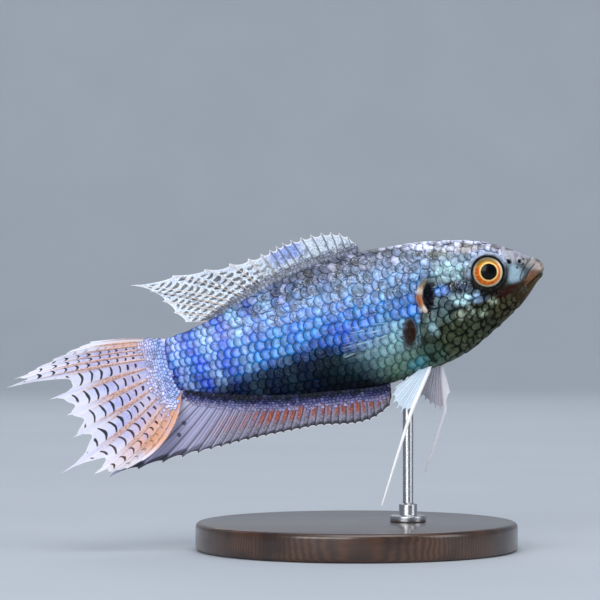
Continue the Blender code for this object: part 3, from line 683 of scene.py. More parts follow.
def keep_places(obj, name, places):
    """Keeps two numbers for each of the mesh's points, as a map of this name."""
    corner = np.array([loop.vertex_index for loop in obj.data.loops])
    layer = obj.data.uv_layers.new(name=name)
    layer.data.foreach_set("uv", places[corner].ravel())
    return layer


side_x, side_z = points[:, 0], points[:, 2]
bare = is_bare(side_x, side_z).astype(float)
colours = pigment(side_x, side_z)
# Painted shade: skin under the scales is painted at 40 per cent of its colour, so the gaps between plates
# look dark.
paint(skin.data, "pigment", colours * (0.4 + 0.6 * np.maximum(bare, ease(-side_x, 26.9, 27.6)))[:, None])
pits = sum(1 - ease(np.hypot(side_x - px, side_z - pz), r * 0.7, r * 1.15) for px, pz, r in NOSTRILS)
pits += sum(0.9 * (1 - ease(np.hypot(side_x - px, side_z - pz), 0.1, 0.24)) for px, pz in PORES)
pits += 0.55 * hump(trail(side_x, side_z, MOUTH)[0], 0.09)
for fold in UPPER_JAW_FOLDS:
    pits += 0.75 * hump(trail(side_x, side_z, fold)[0], 0.1)
for line, width, fall in CHEEK_FOLDS:
    pits += 2.2 * fall * hump(trail(side_x, side_z, line)[0], width)
measure(skin.data, "shadow", np.clip(pits, 0, 1))
measure(skin.data, "bare", bare)


def attribute(tree, name, output="Fac"):
    return put(tree, "Attribute", attribute_name=name, attribute_type="GEOMETRY").outputs[output]


def from_specks(place, scale):
    """Distance from the nearest of many strewn specks."""
    return put(place.id_data, "TexVoronoi", named={"Vector": place, "Scale": scale}).outputs["Distance"]


def maths(operation, *values):
    return put(tree_of(values), "Math", *values, operation=operation).outputs[0]


def times(first, *others):
    for other in others:
        first = maths("MULTIPLY", first, other)
    return first


def plus(first, second):
    return maths("ADD", first, second)


flesh, tree, shader = new_material("wet_head_skin", 0.38, Coat_Roughness=0.18)
place = in_millimetres(tree)
blotch = noise(place, 0.9, 4.0, 0.6)
fine = noise(place, 5.5, 3.0, 0.6)
dots = from_specks(place, 4.2)
base_colour = attribute(tree, "pigment", "Color")
colour = over(base_colour, between(blotch, 0.5, 0.66, 0.0, 0.45), "#3c382f")
paler = over(base_colour, 0.2, "#c9c6d2")
colour = over(colour, between(blotch, 0.48, 0.34, 0.0, 0.4), paler)
colour = over(colour, between(dots, 0.2, 0.08, 0.0, 0.5), "#12100f")
colour = over(base_colour, attribute(tree, "bare"), colour)
colour = over(colour, between(fine, 0.3, 0.75, 0.0, 0.35), "#1b1a1c", "MULTIPLY")
colour = over(colour, attribute(tree, "shadow"), "#0a0808")
feed(shader, Base_Color=colour)
bumps(shader, plus(times(fine, 0.5), times(blotch, 0.8)), strength=0.35, depth=0.12)
lightness = put(tree, "RGBToBW", base_colour).outputs[0]
feed(shader, Specular_IOR_Level=between(lightness, 0.02, 0.2, 0.03, 0.3))
feed(shader, Coat_Weight=between(lightness, 0.02, 0.2, 0.02, 0.3))
finish_piece(
    skin, flesh, "head_skin", "head", "lower_jaw", "gill_cover_left", "gill_cover_right", "trunk",
    "tail_stalk",
)


# Scales: thin overlapping plates in rows along the body, each rooted under the one in front of it
# with its rounded rear edge free, smaller towards the tail, uneven and puffed up over the cheek. One
# plate is modelled and laid over the body some hundreds of times, each copy a little different.
ROW_SPACING = 1.54
PLATE_LENGTH = 1.72  # in pitches of the row
PLATE_WIDTH = 1.44  # in row spacings
PLATE_RISE = (-0.05, 0.1)  # height over the skin at its root and at its free edge
PLATE_BODY = 0.05
PLATE_ACROSS = (-1, -0.86, -0.62, -0.3, 0, 0.3, 0.62, 0.86, 1)
rng = np.random.default_rng(7)

select()
bpy.ops.mesh.primitive_grid_add(x_subdivisions=8, y_subdivisions=4, size=2)
plate = bpy.context.object
select_rim()
bpy.ops.mesh.extrude_edges_move(TRANSFORM_OT_translate={"value": (0, 0, -1)})
bpy.ops.mesh.edge_face_add()
outwards()
plate_points = np.array([v.co for v in plate.data.vertices])
plate_points[:, 0] = np.interp(plate_points[:, 0], np.linspace(-1, 1, 9), PLATE_ACROSS)
plate_faces = [list(face.vertices) for face in plate.data.polygons]
bpy.data.objects.remove(plate)
# Each point of a plate: place across, share of the way from the root, 0 on top and -1 underneath.
PLATE_PLACES = (plate_points[None, :, 0], (1 - plate_points[None, :, 1]) / 2, plate_points[None, :, 2])

stations = np.linspace(-28.3, 27.5, 280)
turns = np.linspace(-math.pi / 2, math.pi / 2, 181)
shells = plain_skin(np.repeat(stations, len(turns)), np.tile(turns, len(stations)))
shells = shells.reshape(len(stations), len(turns), 3)
steps = np.linalg.norm(np.diff(shells[:, :, 1:], axis=1), axis=2)
arcs = np.pad(np.cumsum(steps, axis=1), ((0, 0), (1, 0)))
arcs -= arcs[:, len(turns) // 2][:, None]


def arc_ends(x):
    """Length of the skin from its widest line down to the belly and up to the back."""
    return np.interp(x, stations, arcs[:, 0]), np.interp(x, stations, arcs[:, -1])


def angle_at(x, height):
    """Angle round the section at a height measured along the skin from its widest line."""
    low = np.clip(np.searchsorted(stations, x) - 1, 0, len(stations) - 2)
    share = np.clip((x - stations[low]) / (stations[1] - stations[0]), 0, 1)
    found = np.empty(len(x))
    for station in np.unique(low):
        here = low == station
        near, far = (np.interp(height[here], arcs[station + i], turns) for i in (0, 1))
        found[here] = near + (far - near) * share[here]
    return found


def row_spacing(x):
    low, high = arc_ends(x)
    girth = (high - low) / (arc_ends(2.0)[1] - arc_ends(2.0)[0])
    return ROW_SPACING * (0.60 + 0.40 * girth) * (1 - 0.2 * ease(x, 10.5, 17))


def pitch(x):
    return 1.16 - 0.33 * ease(-x, 14, 28) - 0.2 * ease(x, 10, 17)


def sparkle(x, z):
    """Where the scales are sprinkled with white: densely on the shoulder and along the back."""
    amount = 0.3 * oval(x, z, (-10, -0.5, 15, 4.5, 5), 0.6)
    for place in (
        (1.5, 3.8, 10.0, 4.6, -3), (-10, 4.0, 9.0, 2.8, 8), (10.0, 5.6, 5.0, 2.4, 0),
        (14.5, 1.0, 2.6, 3.0, 0),
    ):
        amount = np.maximum(amount, oval(x, z, place, 0.5))
    return amount


roots = [25.0]
while roots[-1] > -27.6:
    roots.append(roots[-1] - pitch(roots[-1]) / 2)
roots = np.array(roots)


def scatter():
    """Roots of one side's scales: place and height along the skin."""
    column = np.repeat(np.arange(len(roots)), 20)
    row = np.tile(np.arange(-10, 10), len(roots))
    x = roots[column]
    low, high = arc_ends(x)
    height = row * row_spacing(x)
    kept = ((row + column) % 2 == 0) & (height > low + 0.1) & (height < high - 0.1)
    x, height = x[kept], height[kept]
    z = plain_skin(x, angle_at(x, height))[:, 2]
    bald = is_bare(x - 0.55 * PLATE_LENGTH * pitch(x), z) & is_bare(x - 0.9 * PLATE_LENGTH * pitch(x), z)
    return x[~bald, None], height[~bald, None]


def join_plates(name, points, flipped, patch, tint, shine, outline, seam, vary):
    """Plates as one mesh, with their colours, their own coordinates and their patches of the unwrap."""
    count, size = len(shine), len(plate_points)
    order = [face[::-1] if flipped else face for face in plate_faces]
    faces = [[i * size + v for v in face] for i in range(count) for face in order]
    mesh = bpy.data.meshes.new(name)
    mesh.from_pydata(onto_stand(points).tolist(), [], faces)
    obj = bpy.data.objects.new(name, mesh)
    bpy.context.scene.collection.objects.link(obj)
    paint(mesh, "pigment", tint)
    chance = 0.5 + rng.uniform(-0.5, 0.5, count) * vary
    for kept, values in (("sparkle", shine), ("chance", chance), ("outline", outline), ("seam", seam)):
        measure(mesh, kept, np.repeat(values, size))
    across, along, _ = PLATE_PLACES
    keep_places(obj, "plate", np.tile(np.stack([across, along], -1)[0], (count, 1)))
    spread = np.stack([along - 0.5, across / 2], -1) * 0.003
    keep_places(obj, "OFBake", (patch[:, None, :] + spread).reshape(-1, 2))
    select(obj)
    bpy.ops.object.shade_smooth_by_angle(angle=math.radians(40))
    return obj


def lay_scales(name, side):
    """One side's scales, each plate bent to the skin under it."""
    x0, h0 = scatter()
    count = len(x0)
    across, along, layer = PLATE_PLACES
    wild = ease(x0, 7.5, 11.0)
    z0 = plain_skin(x0.ravel(), angle_at(x0.ravel(), h0.ravel()))[:, 2]
    loose = np.maximum(wild, 0.6 * sparkle(x0.ravel(), z0)[:, None])
    draw = rng.uniform(-1, 1, (8, count, 1))
    length = PLATE_LENGTH * pitch(x0) * (1 + (0.06 + 0.14 * loose) * draw[0])
    half = PLATE_WIDTH * row_spacing(x0) / 2 * (1 + (0.06 + 0.16 * loose) * draw[1])
    edge = 1 - 0.4 * (np.maximum(np.abs(across) - 0.25, 0) / 0.75) ** 1.35
    edge = edge + 0.025 * (1 + wild) * np.sin(2.6 * across + 3 * draw[5])
    reach = along * length * edge
    aside = across * half * (1 - 0.30 * (1 - along) ** 2 - 0.06 * along**3)
    turn = (0.06 + 0.24 * loose) * draw[2]
    x = x0 + (0.05 + 0.14 * loose) * draw[3] - reach * np.cos(turn) + aside * np.sin(turn)
    height = h0 + (0.05 + 0.14 * loose) * draw[4] + aside * np.cos(turn) + reach * np.sin(turn)
    low, high = arc_ends(x.ravel())
    height = np.clip(height.ravel(), low + 0.02, high - 0.02)
    x = np.maximum(x.ravel(), TAIL_ROOT - TAIL_REACH * 0.98)
    flatter = 1 - 0.6 * ease(-x0, 23, 28)
    rise = PLATE_RISE[0] + (PLATE_RISE[1] * flatter - PLATE_RISE[0]) * along**0.7 - 0.02 * across**2 * along
    rise = rise + wild * 0.05 * np.sin(math.pi * np.clip(along, 0, 1)) * (1 - across**2)
    middle = x0.ravel() - 0.7 * length.ravel()
    seen = surface(middle, angle_at(middle, h0.ravel()))
    angle = angle_at(x, height)
    z = plain_skin(x, angle)[:, 2]
    covered = (z > -9.6) & (z < 3.2)
    own = np.repeat(behind_cover(seen[:, 0], seen[:, 2]) < 0, len(plate_points))
    x = np.where(covered & own, x + np.maximum(behind_cover(x, z), 0), x)
    tucked = 0.45 * ease(-behind_cover(x, z), -0.06, 0.1) * (covered & ~own) + 0.22 * is_bare(x, z)
    lift = (rise + 0.012 * draw[6] + PLATE_BODY * layer).ravel() - tucked
    points = surface(x, angle if side > 0 else math.pi - angle, lift)
    shine = sparkle(seen[:, 0], seen[:, 2])
    tint, plate_tint = pigment(x, z), np.repeat(pigment(seen[:, 0], seen[:, 2]), len(plate_points), 0)
    tint = tint + (plate_tint - tint) * np.repeat(0.65 * (1 - wild.ravel()), len(plate_points))[:, None]
    patch = np.concatenate([(x0 + 29) / 58, (h0 + 14) / 28], 1)  # of the unwrap, from 0 to 1
    outline = 0.95 - shine * rng.uniform(0.2, 0.95, count)
    seam = ease(seen[:, 0], 9.0, 10.5) * (1 - ease(seen[:, 2], -1.2, 1.4))
    vary = 0.4 + 0.4 * np.maximum(wild.ravel(), shine)
    return join_plates(name, points, side < 0, patch, tint, shine, outline, seam, vary)


def minus(first, second):
    return maths("SUBTRACT", first, second)


def kept_places(tree, name):
    """The two numbers that a mesh keeps for its points in the map of this name."""
    return put(tree, "SeparateXYZ", put(tree, "UVMap", uv_map=name).outputs[0]).outputs[:2]


plates, tree, shader = new_material("blue_scales", 0.4, Coat_Roughness=0.2, Metallic=0.1)
place = in_millimetres(tree)
across, along = kept_places(tree, "plate")
side_gap = minus(1.0, maths("ABSOLUTE", across))
edge_gap = maths("MINIMUM", minus(1.0, along), times(side_gap, 0.55))
fine = noise(place, 4.5, 3.0, 0.65)
broad = noise(place, 1.5, 3.0, 0.6)
chance = attribute(tree, "chance")
shine = attribute(tree, "sparkle")
tint = attribute(tree, "pigment", "Color")
ragged = plus(edge_gap, times(minus(fine, 0.5), 0.08))
seam = attribute(tree, "seam")
ink = between(maths("DIVIDE", ragged, plus(1.0, seam)), 0.084, 0.034)
# Painted shade: the walls at each plate's edge are painted almost black, so that they show as dark gaps.
wall = between(edge_gap, 0.02, 0.008)
glint = times(between(ragged, 0.08, 0.14), between(ragged, 0.3, 0.18))
# Each plate is darker at its rims and lighter in its middle, most on the cheek: partly the scales' own
# tone, partly painted shade at the rims and a painted highlight in the middle.
low = minus(0.58, times(seam, 0.3))
high = plus(1.22, times(seam, 0.75))
value = times(between(chance, 0.0, 1.0, 0.72, 1.28), between(edge_gap, 0.02, 0.36, low, high))
value = times(value, between(broad, 0.36, 0.64, 0.7, 1.26))
cloud = noise(place, 0.75, 2.0)
dip, swell = (maths("MULTIPLY_ADD", shine, -0.45, 1.0), maths("MULTIPLY_ADD", shine, 0.15, 1.0))
value = times(value, between(cloud, 0.38, 0.62, dip, swell), plus(1.0, times(glint, 0.12)))
colour = put(tree, "HueSaturation", named={
    "Color": tint, "Value": value, "Saturation": between(edge_gap, 0.05, 0.36, 1.3, 0.9),
    "Hue": between(noise(place, 0.6, 1.0), 0.3, 0.7, 0.488, 0.508),
}).outputs[0]
specks = between(plus(from_specks(place, 2.7), times(fine, 0.3)), 0.46, 0.3)
pale = times(maths("MAXIMUM", specks, times(glint, 0.25)), shine)
pale = times(pale, between(noise(place, 0.8, 2.0), 0.38, 0.6, 0.25, 1.0))
colour = over(colour, times(pale, 0.85), "#dce6f2")
colour = over(colour, between(from_specks(place, 3.6), 0.2, 0.1, 0.0, 0.55), "#141c34")
rim = over(tint, 0.9, (0.03, 0.04, 0.1, 1), "MULTIPLY")
ink_and_wall_shade = maths("MAXIMUM", times(ink, attribute(tree, "outline")), times(wall, 0.9))
colour = over(colour, ink_and_wall_shade, rim)
feed(shader, Base_Color=colour)
lightness = put(tree, "RGBToBW", tint).outputs[0]
feed(shader, Specular_IOR_Level=between(lightness, 0.03, 0.25, 0.06, 0.4))
feed(shader, Coat_Weight=between(lightness, 0.03, 0.25, 0.04, 0.3))
bumps(shader, plus(fine, broad), strength=0.4, depth=0.08)
for name, side in (("scales_left", 1), ("scales_right", -1)):
    scales = lay_scales(name, side)
    finish_piece(scales, plates, "blue_scales")


# Eyes: glossy balls set deep in their sockets, with a black pupil a little forward of the middle, a
# thin gold ring round it, a streaked orange iris that is olive-gold at the top, under a painted
# shadow of the lid, and a cream outer ring.
PUPIL_SHIFT = (0.14, 0.03, 0)
iris, tree, shader = new_material(
    "orange_iris", 0.3, Coat_Weight=0.2, Coat_Roughness=0.03, Specular_IOR_Level=0.1,
)
disc = put(tree, "UVMap", uv_map="disc").outputs[0]
ahead, up = kept_places(tree, "disc")
radius = put(tree, "VectorMath", disc, operation="LENGTH").outputs["Value"]
turned = maths("ARCTAN2", up, ahead)
round_x, round_y = (times(maths(wave, turned), 5.0) for wave in ("SINE", "COSINE"))
spokes = put(tree, "CombineXYZ", round_x, round_y, times(radius, 0.7)).outputs[0]
fibre = noise(spokes, 1.3, 3.0, 0.6)
streak = noise(disc, 3.2, 4.0, 0.6)
waved = plus(radius, times(minus(streak, 0.5), 0.3))
pupil = put(tree, "VectorMath", disc, PUPIL_SHIFT, operation="DISTANCE").outputs["Value"]
ringed = plus(pupil, times(minus(fibre, 0.5), 0.12))
high = between(up, 0.5, 1.9)
orange = over("#d2480a", between(fibre, 0.3, 0.7), "#f08a24")
orange = over(orange, high, "#c79a2c")
colour = over("#f3e3c0", between(waved, 1.94, 1.74), orange)
# Painted shade: the lid's shadow darkens the top of the iris.
lid_shadow = times(high, between(waved, 1.42, 1.72))
colour = over(colour, times(lid_shadow, 0.85), "#4a3d16")
colour = over(colour, between(ringed, 1.43, 1.31), "#f3cf7c")
colour = over(colour, between(ringed, 1.2, 1.12), "#020203")
colour = over(colour, between(radius, 2.06, 2.16), "#0d0b0a")
feed(shader, Base_Color=colour)
for side, name in ((1, "left"), (-1, "right")):
    select()
    bpy.ops.mesh.primitive_uv_sphere_add(segments=96, ring_count=64, radius=1)
    eye = bpy.context.object
    eye.name = "eyeball_" + name
    ball = np.array([v.co for v in eye.data.vertices])
    dx, dz = ball[:, 0] * EYE_RADIUS, ball[:, 1] * EYE_RADIUS
    depth = ball[:, 2] * EYE_DEPTH
    points = np.stack([EYE_PLACE[0] + dx, side * (EYE_PLACE[1] + depth), EYE_PLACE[2] + dz], -1)
    eye.data.vertices.foreach_set("co", onto_stand(points).ravel())
    keep_places(eye, "disc", np.stack([dx, dz], -1))
    outwards()
    bpy.ops.object.shade_smooth()
    finish_piece(eye, iris, "eye", "eye_" + name)


# Fins: thin sheets of clear skin over bony rays, which stand out as fine ridges, fork towards the
# edge and end in points. They grow from inside the back, the belly and the stalk, where the rays are
# jointed to the bones under the scales.
MEMBRANE = 0.13  # thickness between the rays
FIN_TRAIL = 0.17  # how far a ray goes to the left for each step back
FIN_SINK = 0.55  # how far a fin's foot goes in under the scales
DORSAL = (  # number of the ray, root along the back, tip, bow
    (0, 2.9, 2.35, 9.9, 0.0),
    (1, 1.9, 1.5, 11.3, 0.03),
    (2, 0.8, 0.5, 11.99, 0.05),
    (7, -4.9, -6.5, 12.75, 0.05),
    (13, -11.8, -15.8, 11.65, 0.06),
    (14, -13.0, -19.4, 11.75, 0.06),
    (15, -14.2, -24.1, 12.05, 0.06),
    (16, -15.4, -30.3, 12.15, 0.05),
    (17, -16.6, -27.9, 10.7, 0.04),
    (18, -17.8, -26.4, 8.8, 0.03),
    (19, -19.0, -25.2, 6.8, 0.02),
    (20, -20.1, -23.9, 5.1, 0.0),
)
ANAL = (
    (0, 2.4, 1.9, -12.7, 0.0),
    (1, 1.5, 1.3, -13.9, 0.02),
    (2, 0.6, 0.2, -14.5, 0.03),
    (12, -8.5, -10.8, -14.0, 0.05),
    (20, -15.8, -21.0, -13.55, 0.05),
    (24, -19.5, -27.0, -13.6, 0.05),
    (26, -21.4, -32.2, -13.65, 0.05),
    (27, -22.4, -35.9, -13.7, 0.05),
    (28, -23.4, -40.4, -13.8, 0.04),
    (29, -24.7, -36.2, -10.3, 0.03),
    (30, -26.3, -31.2, -6.6, 0.02),
)


def new_group(name, takes, gives):
    """A shader node group with its named inputs, as name and value, and its named outputs."""
    tree = bpy.data.node_groups.new(name, "ShaderNodeTree")
    for socket, value in takes:
        taken = tree.interface.new_socket(socket, in_out="INPUT", socket_type="NodeSocketFloat")
        taken.default_value = value
    for socket in gives:
        tree.interface.new_socket(socket, in_out="OUTPUT", socket_type="NodeSocketFloat")
    return tree, tree.nodes.new("NodeGroupInput").outputs, tree.nodes.new("NodeGroupOutput").inputs


def grouped(tree, group, **values):
    named = {name.replace("_", " "): value for name, value in values.items()}
    return put(tree, "Group", named=named, node_tree=group).outputs


def washed(colour, *rows):
    """A colour with others laid over it, row by row: the colour, its strength, and the shares that it
    is multiplied by, each a socket or what between takes."""
    for laid, strength, *shares in rows:
        shares = [between(*share) if isinstance(share, tuple) else share for share in shares]
        colour = over(colour, times(*shares, strength), laid)
    return colour


# Rays as lines: 1 on a ray and its branches, with the share of the way to the next ray.
ray_lines, takes, gives = new_group(
    "ray lines", (("Rows", 1.0), ("Width", 0.16), ("Fork Start", 0.35), ("Fork Spread", 0.24)),
    ("Line", "Across", "Along"),
)
number, along = kept_places(ray_lines, "rays")
share = maths("FRACT", times(number, takes["Rows"]))
ends = (takes["Fork Start"], 1.0, 0.0, takes["Fork Spread"])
opened = put(ray_lines, "MapRange", along, *ends).outputs[0]
first = maths("ABSOLUTE", minus(share, opened))
second = maths("ABSOLUTE", minus(minus(1.0, share), opened))
gap = maths("DIVIDE", attribute(ray_lines, "gap"), takes["Rows"])
apart = times(maths("MINIMUM", first, second), gap)
line = between(apart, takes["Width"], times(takes["Width"], 0.3))
for name, socket in (("Line", line), ("Across", share), ("Along", along)):
    ray_lines.links.new(socket, gives[name])

# Dark bars across the membrane from ray to ray, bowed towards the body and wider apart further out.
cross_bars, takes, gives = new_group("cross bars", (
    ("Rows", 1.0), ("Spacing", 1.3), ("Growth", 0.0), ("Thickness", 0.34), ("Bow", 0.35), ("Inset", 0.12),
    ("Drift", 0.5),
), ("Bar",))
rows = times(kept_places(cross_bars, "rays")[0], takes["Rows"])
share = maths("FRACT", rows)
arch = times(share, minus(1.0, share), 4.0)
chosen = put(cross_bars, "TexWhiteNoise", named={"W": maths("FLOOR", rows)}, noise_dimensions="1D")
shifted = times(chosen.outputs["Value"], takes["Drift"])
run = plus(attribute(cross_bars, "reach"), times(arch, takes["Bow"]))
run = plus(noise(in_millimetres(cross_bars), 0.45, 1.0), run)
wider = plus(1.0, times(run, takes["Growth"]))
spacing = times(takes["Spacing"], wider)
phase = maths("FRACT", plus(maths("DIVIDE", run, spacing), shifted))
spacing = times(spacing, wider)
away = times(maths("ABSOLUTE", minus(phase, 0.5)), spacing)
uneven = noise(in_millimetres(cross_bars), 0.8, 2.0)
thick = times(maths("POWER", arch, 0.6), takes["Thickness"], between(uneven, 0.3, 0.7, 0.75, 1.15), wider)
bar = between(away, times(thick, 0.65), times(thick, 0.35))
inset = maths("GREATER_THAN", share, takes["Inset"])
outset = maths("LESS_THAN", share, minus(1.0, takes["Inset"]))
bar = times(bar, times(inset, outset))
cross_bars.links.new(bar, gives["Bar"])


def bowed(root, tip, bow):
    """Root, pull and tip of a ray that bows in the side view by a share of its length."""
    root, tip = np.array(root, float), np.array(tip, float)
    along = tip - root
    across = np.array((-along[2], 0, along[0]))
    return root, (root + tip) / 2 - across * bow, tip


def fin_points(rays, u, t, ripple):
    """A fin's middle sheet at u, counted in rays, and t along them, with the gap and the length there."""
    u = np.clip(u, 0, len(rays) - 1)
    k = np.minimum(u.astype(int), len(rays) - 2)
    s = u - k
    roots, pulls, tips = (np.array([ray[i] for ray in rays]) for i in range(3))
    a, b, c = ((1 - t) ** 2)[:, None], (2 * t * (1 - t))[:, None], (t * t)[:, None]
    near, far = (roots[n] * a + pulls[n] * b + tips[n] * c for n in (k, k + 1))
    points = near + (far - near) * s[:, None]
    points[:, 1] += ripple * t * np.sin(2.1 * u + 2.0 * t)
    lengths = np.linalg.norm(tips - roots, axis=1)
    return points, np.linalg.norm(far - near, axis=1), lengths[k] * (1 - s) + lengths[k + 1] * s


def foot_half(u, count, reach, flesh):
    """Half the thickness that muscle gives a fin's foot at u and at a reach in millimetres."""
    half, swollen, covered, blunt = flesh
    along_rays = ease(reach, -0.3, swollen) * (1 - ease(reach, swollen, covered))
    return half * along_rays * (1 - np.abs(2 * u / (count - 1) - 1) ** blunt)


def sag(s):
    """How a membrane's edge falls back between two rays: not at all at them, most half way."""
    return np.sqrt(np.clip(4 * s * (1 - s), 0, 1))


def build_fin(name, rays, per_ray, rows, notch, forked, ray, ripple, flesh=(0.0, 0.1, 0.2, 8)):
    """A fin from its rays' curves, with so many columns for each ray, forked from 0 to 1, a ray's
    thickness and a ripple to the side. notch gives the share of each ray's reach that the edge falls
    back. flesh gives the foot half its thickness, where that is full, where it ends and its bluntness."""
    count = len(rays)
    select()
    bpy.ops.mesh.primitive_grid_add(x_subdivisions=per_ray * (count - 1), y_subdivisions=rows, size=2)
    fin = bpy.context.object
    fin.name = name
    flat = np.array([v.co for v in fin.data.vertices])
    column = np.rint((flat[:, 0] + 1) / 2 * per_ray * (count - 1)).astype(int)
    k = np.minimum(column // per_ray, count - 2)
    s = column / per_ray - k
    v = (flat[:, 1] + 1) / 2
    edge = 1 - notch(k, s)
    points, gap, length = fin_points(rays, k + s, v * edge, ripple)
    opened = np.clip((v - 0.35) / 0.65, 0, 1) * 0.24 * forked
    beside = np.minimum(np.abs(s - opened), np.abs(1 - s - opened)) * gap
    ridge = hump(beside, 0.13) * (1 - 0.55 * v) * ease(v * edge * length, 0.6 * flesh[2], 1.1 * flesh[2])
    fin.data.vertices.foreach_set("co", onto_stand(points).ravel())
    fin.data.uv_layers.active = keep_places(fin, "rays", np.stack([k + s, v], -1))
    measure(fin.data, "gap", gap)
    measure(fin.data, "reach", v * edge * length)
    measure(fin.data, "margin", (1 - v) * length * edge)
    group = fin.vertex_groups.new(name="thickness")
    thick = (MEMBRANE + (ray - MEMBRANE) * ridge) * (1 - 0.35 * v**4)
    thick += 2 * foot_half(k + s, count, v * edge * length, flesh)
    thickest = ray + 2 * flesh[0]
    for index, weight in enumerate(thick):
        group.add([index], float(weight / thickest), "REPLACE")
    walls = fin.modifiers.new("walls", "SOLIDIFY")
    walls.thickness = thickest * MM
    walls.offset = 0
    walls.vertex_group = "thickness"
    bpy.ops.object.modifier_apply(modifier="walls")
    bpy.ops.object.shade_smooth_by_angle(angle=math.radians(50))
    return fin


def rays_along(table, edge):
    """The rays of a fin that stands along the back or the belly."""
    number = np.arange(table[-1][0] + 1)
    root_x, tip_x, tip_z, bow = (smooth(table, column, number) for column in (1, 2, 3, 4))
    outward = 1 if edge == 0 else -1
    root_y, root_z = bend(root_x), section(root_x)[edge] - FIN_SINK * outward
    tip_y = root_y + FIN_TRAIL * (root_x - tip_x)
    roots, tips = np.stack([root_x, root_y, root_z], -1), np.stack([tip_x, tip_y, tip_z], -1)
    return [bowed(roots[k], tips[k], bow[k] * outward) for k in number]


SMALL_LENGTH = 1.8  # of the small scales, in steps between their rows
SMALL_WIDTH = 1.4  # in steps along a row


def sheathe(name, rays, ripple, levels, width, shades, shine, flesh, outline=0.4):
    """Small scales over a fin's foot, on both its sides, in rows at levels in millimetres, with shades
    from the lowest row to the highest. width is the step along a row, shine the share of white."""
    step = levels[1] - levels[0]
    shades = np.array([linear(code) for code in shades])
    for side, which in ((1, "left"), (-1, "right")):
        found = []
        for row, reach in enumerate(levels):
            u = 0.1
            first = True
            while u < len(rays) - 1.1:
                length = fin_points(rays, np.array([u]), np.array([0.2]), 0)[2][0]
                gap = max(fin_points(rays, np.array([u]), np.array([reach / length]), 0)[1][0], 0.1)
                smaller = 1 - 0.35 * row / len(levels)
                if first:
                    u += width * smaller / gap * (0.75 if row % 2 else 1.25)
                if u + width * smaller / gap * 0.8 > len(rays) - 1:
                    break
                from_end = min(u, len(rays) - 1 - u)
                kept = rng.uniform() > 0.9 * (row / len(levels)) ** 3
                if kept and row < len(levels) * (0.25 + from_end / 2.2):
                    found.append((u, reach, reach / length, smaller, row / (len(levels) - 1)))
                u += width * smaller / gap
                first = False
        u0, level, t0, smaller, row_share = np.array(found).T
        count = len(u0)
        rooted, further = (fin_points(rays, u0, t0 + t, ripple)[0] for t in (0, 0.03))
        way = (further - rooted)[:, None]
        way /= np.hypot(way[..., 0], way[..., 2])[..., None]
        draw = rng.uniform(-1, 1, (5, count, 1))
        across, along, layer = PLATE_PLACES
        smaller = smaller[:, None]
        reach = along * step * SMALL_LENGTH * smaller * (1 + 0.08 * draw[1])
        reach = reach * (1 - 0.36 * np.abs(across) ** 2.8)
        aside = across * width * SMALL_WIDTH / 2 * smaller * (1 - 0.3 * (1 - along) ** 2) * side
        turn = 0.12 * draw[2]
        on = reach * np.cos(turn) - aside * np.sin(turn)
        off = aside * np.cos(turn) + reach * np.sin(turn)
        sheet = rooted[:, None] + way * on[..., None]
        sheet[..., 0] += way[..., 2] * off + 0.05 * draw[3]
        sheet[..., 2] -= way[..., 0] * off - 0.05 * draw[4]
        half = MEMBRANE / 2 + foot_half(u0[:, None], len(rays), level[:, None] + on, flesh)
        sheet[..., 1] += side * (half + 0.01 + 0.1 * along + 0.035 * layer)
        mix = np.clip(row_share * (len(shades) - 1) + rng.uniform(-0.6, 0.6, count), 0, len(shades) - 1.01)
        pick = mix.astype(int)
        tint = shades[pick] + (shades[pick + 1] - shades[pick]) * (mix - pick)[:, None]
        patch = np.stack([(rooted[:, 0] + 60) / 90, (rooted[:, 2] + 25) / 50], -1)
        sheath = join_plates(
            name + "_" + which, sheet.reshape(-1, 3), False, patch, np.repeat(tint, len(plate_points), 0),
            np.full(count, shine), np.full(count, outline), seam=np.zeros(count), vary=0.3,
        )
        finish_piece(sheath, plates, "blue_scales")


# Dorsal fin: white membranes over grey spines, mottled at its foot, with a blue patch half way along
# and rows of black bars in its soft, pointed rear part.
def dorsal_notch(k, s):
    return np.where(k < 14, 0.12, 0.09) * sag(s)


DORSAL_FLESH = (0.22, 0.5, 1.5, 8)
DORSAL_RIPPLE = 0.1
rays = rays_along(DORSAL, 0)
dorsal = build_fin(
    "dorsal_fin_skin", rays, per_ray=8, rows=30, notch=dorsal_notch, forked=0.0, ray=0.36,
    ripple=DORSAL_RIPPLE, flesh=DORSAL_FLESH,
)
sheathe(
    "dorsal_sheath", rays, DORSAL_RIPPLE, levels=np.arange(0.3, 1.5, 0.36), width=0.6,
    shades=("#7b8398", "#666c7a", "#828899", "#a6acc2"), shine=0.35, flesh=DORSAL_FLESH, outline=0.3,
)
spotted, tree, shader = new_material("spotted_dorsal_fin", 0.35, Coat_Weight=0.35, Coat_Roughness=0.2)
lines = grouped(tree, ray_lines, Width=0.17, Fork_Spread=0.0)
bars = grouped(tree, cross_bars, Rows=1.5, Spacing=1.05, Thickness=0.58, Bow=0.2, Inset=0.1, Drift=0.3)
place = in_millimetres(tree)
number, along = kept_places(tree, "rays")
mottle = noise(place, 1.3, 3.0, 0.6)
fine = noise(place, 4.0, 3.0, 0.6)
margin = attribute(tree, "margin")
foot = between(plus(attribute(tree, "reach"), times(mottle, 2.0)), 3.1, 2.0)
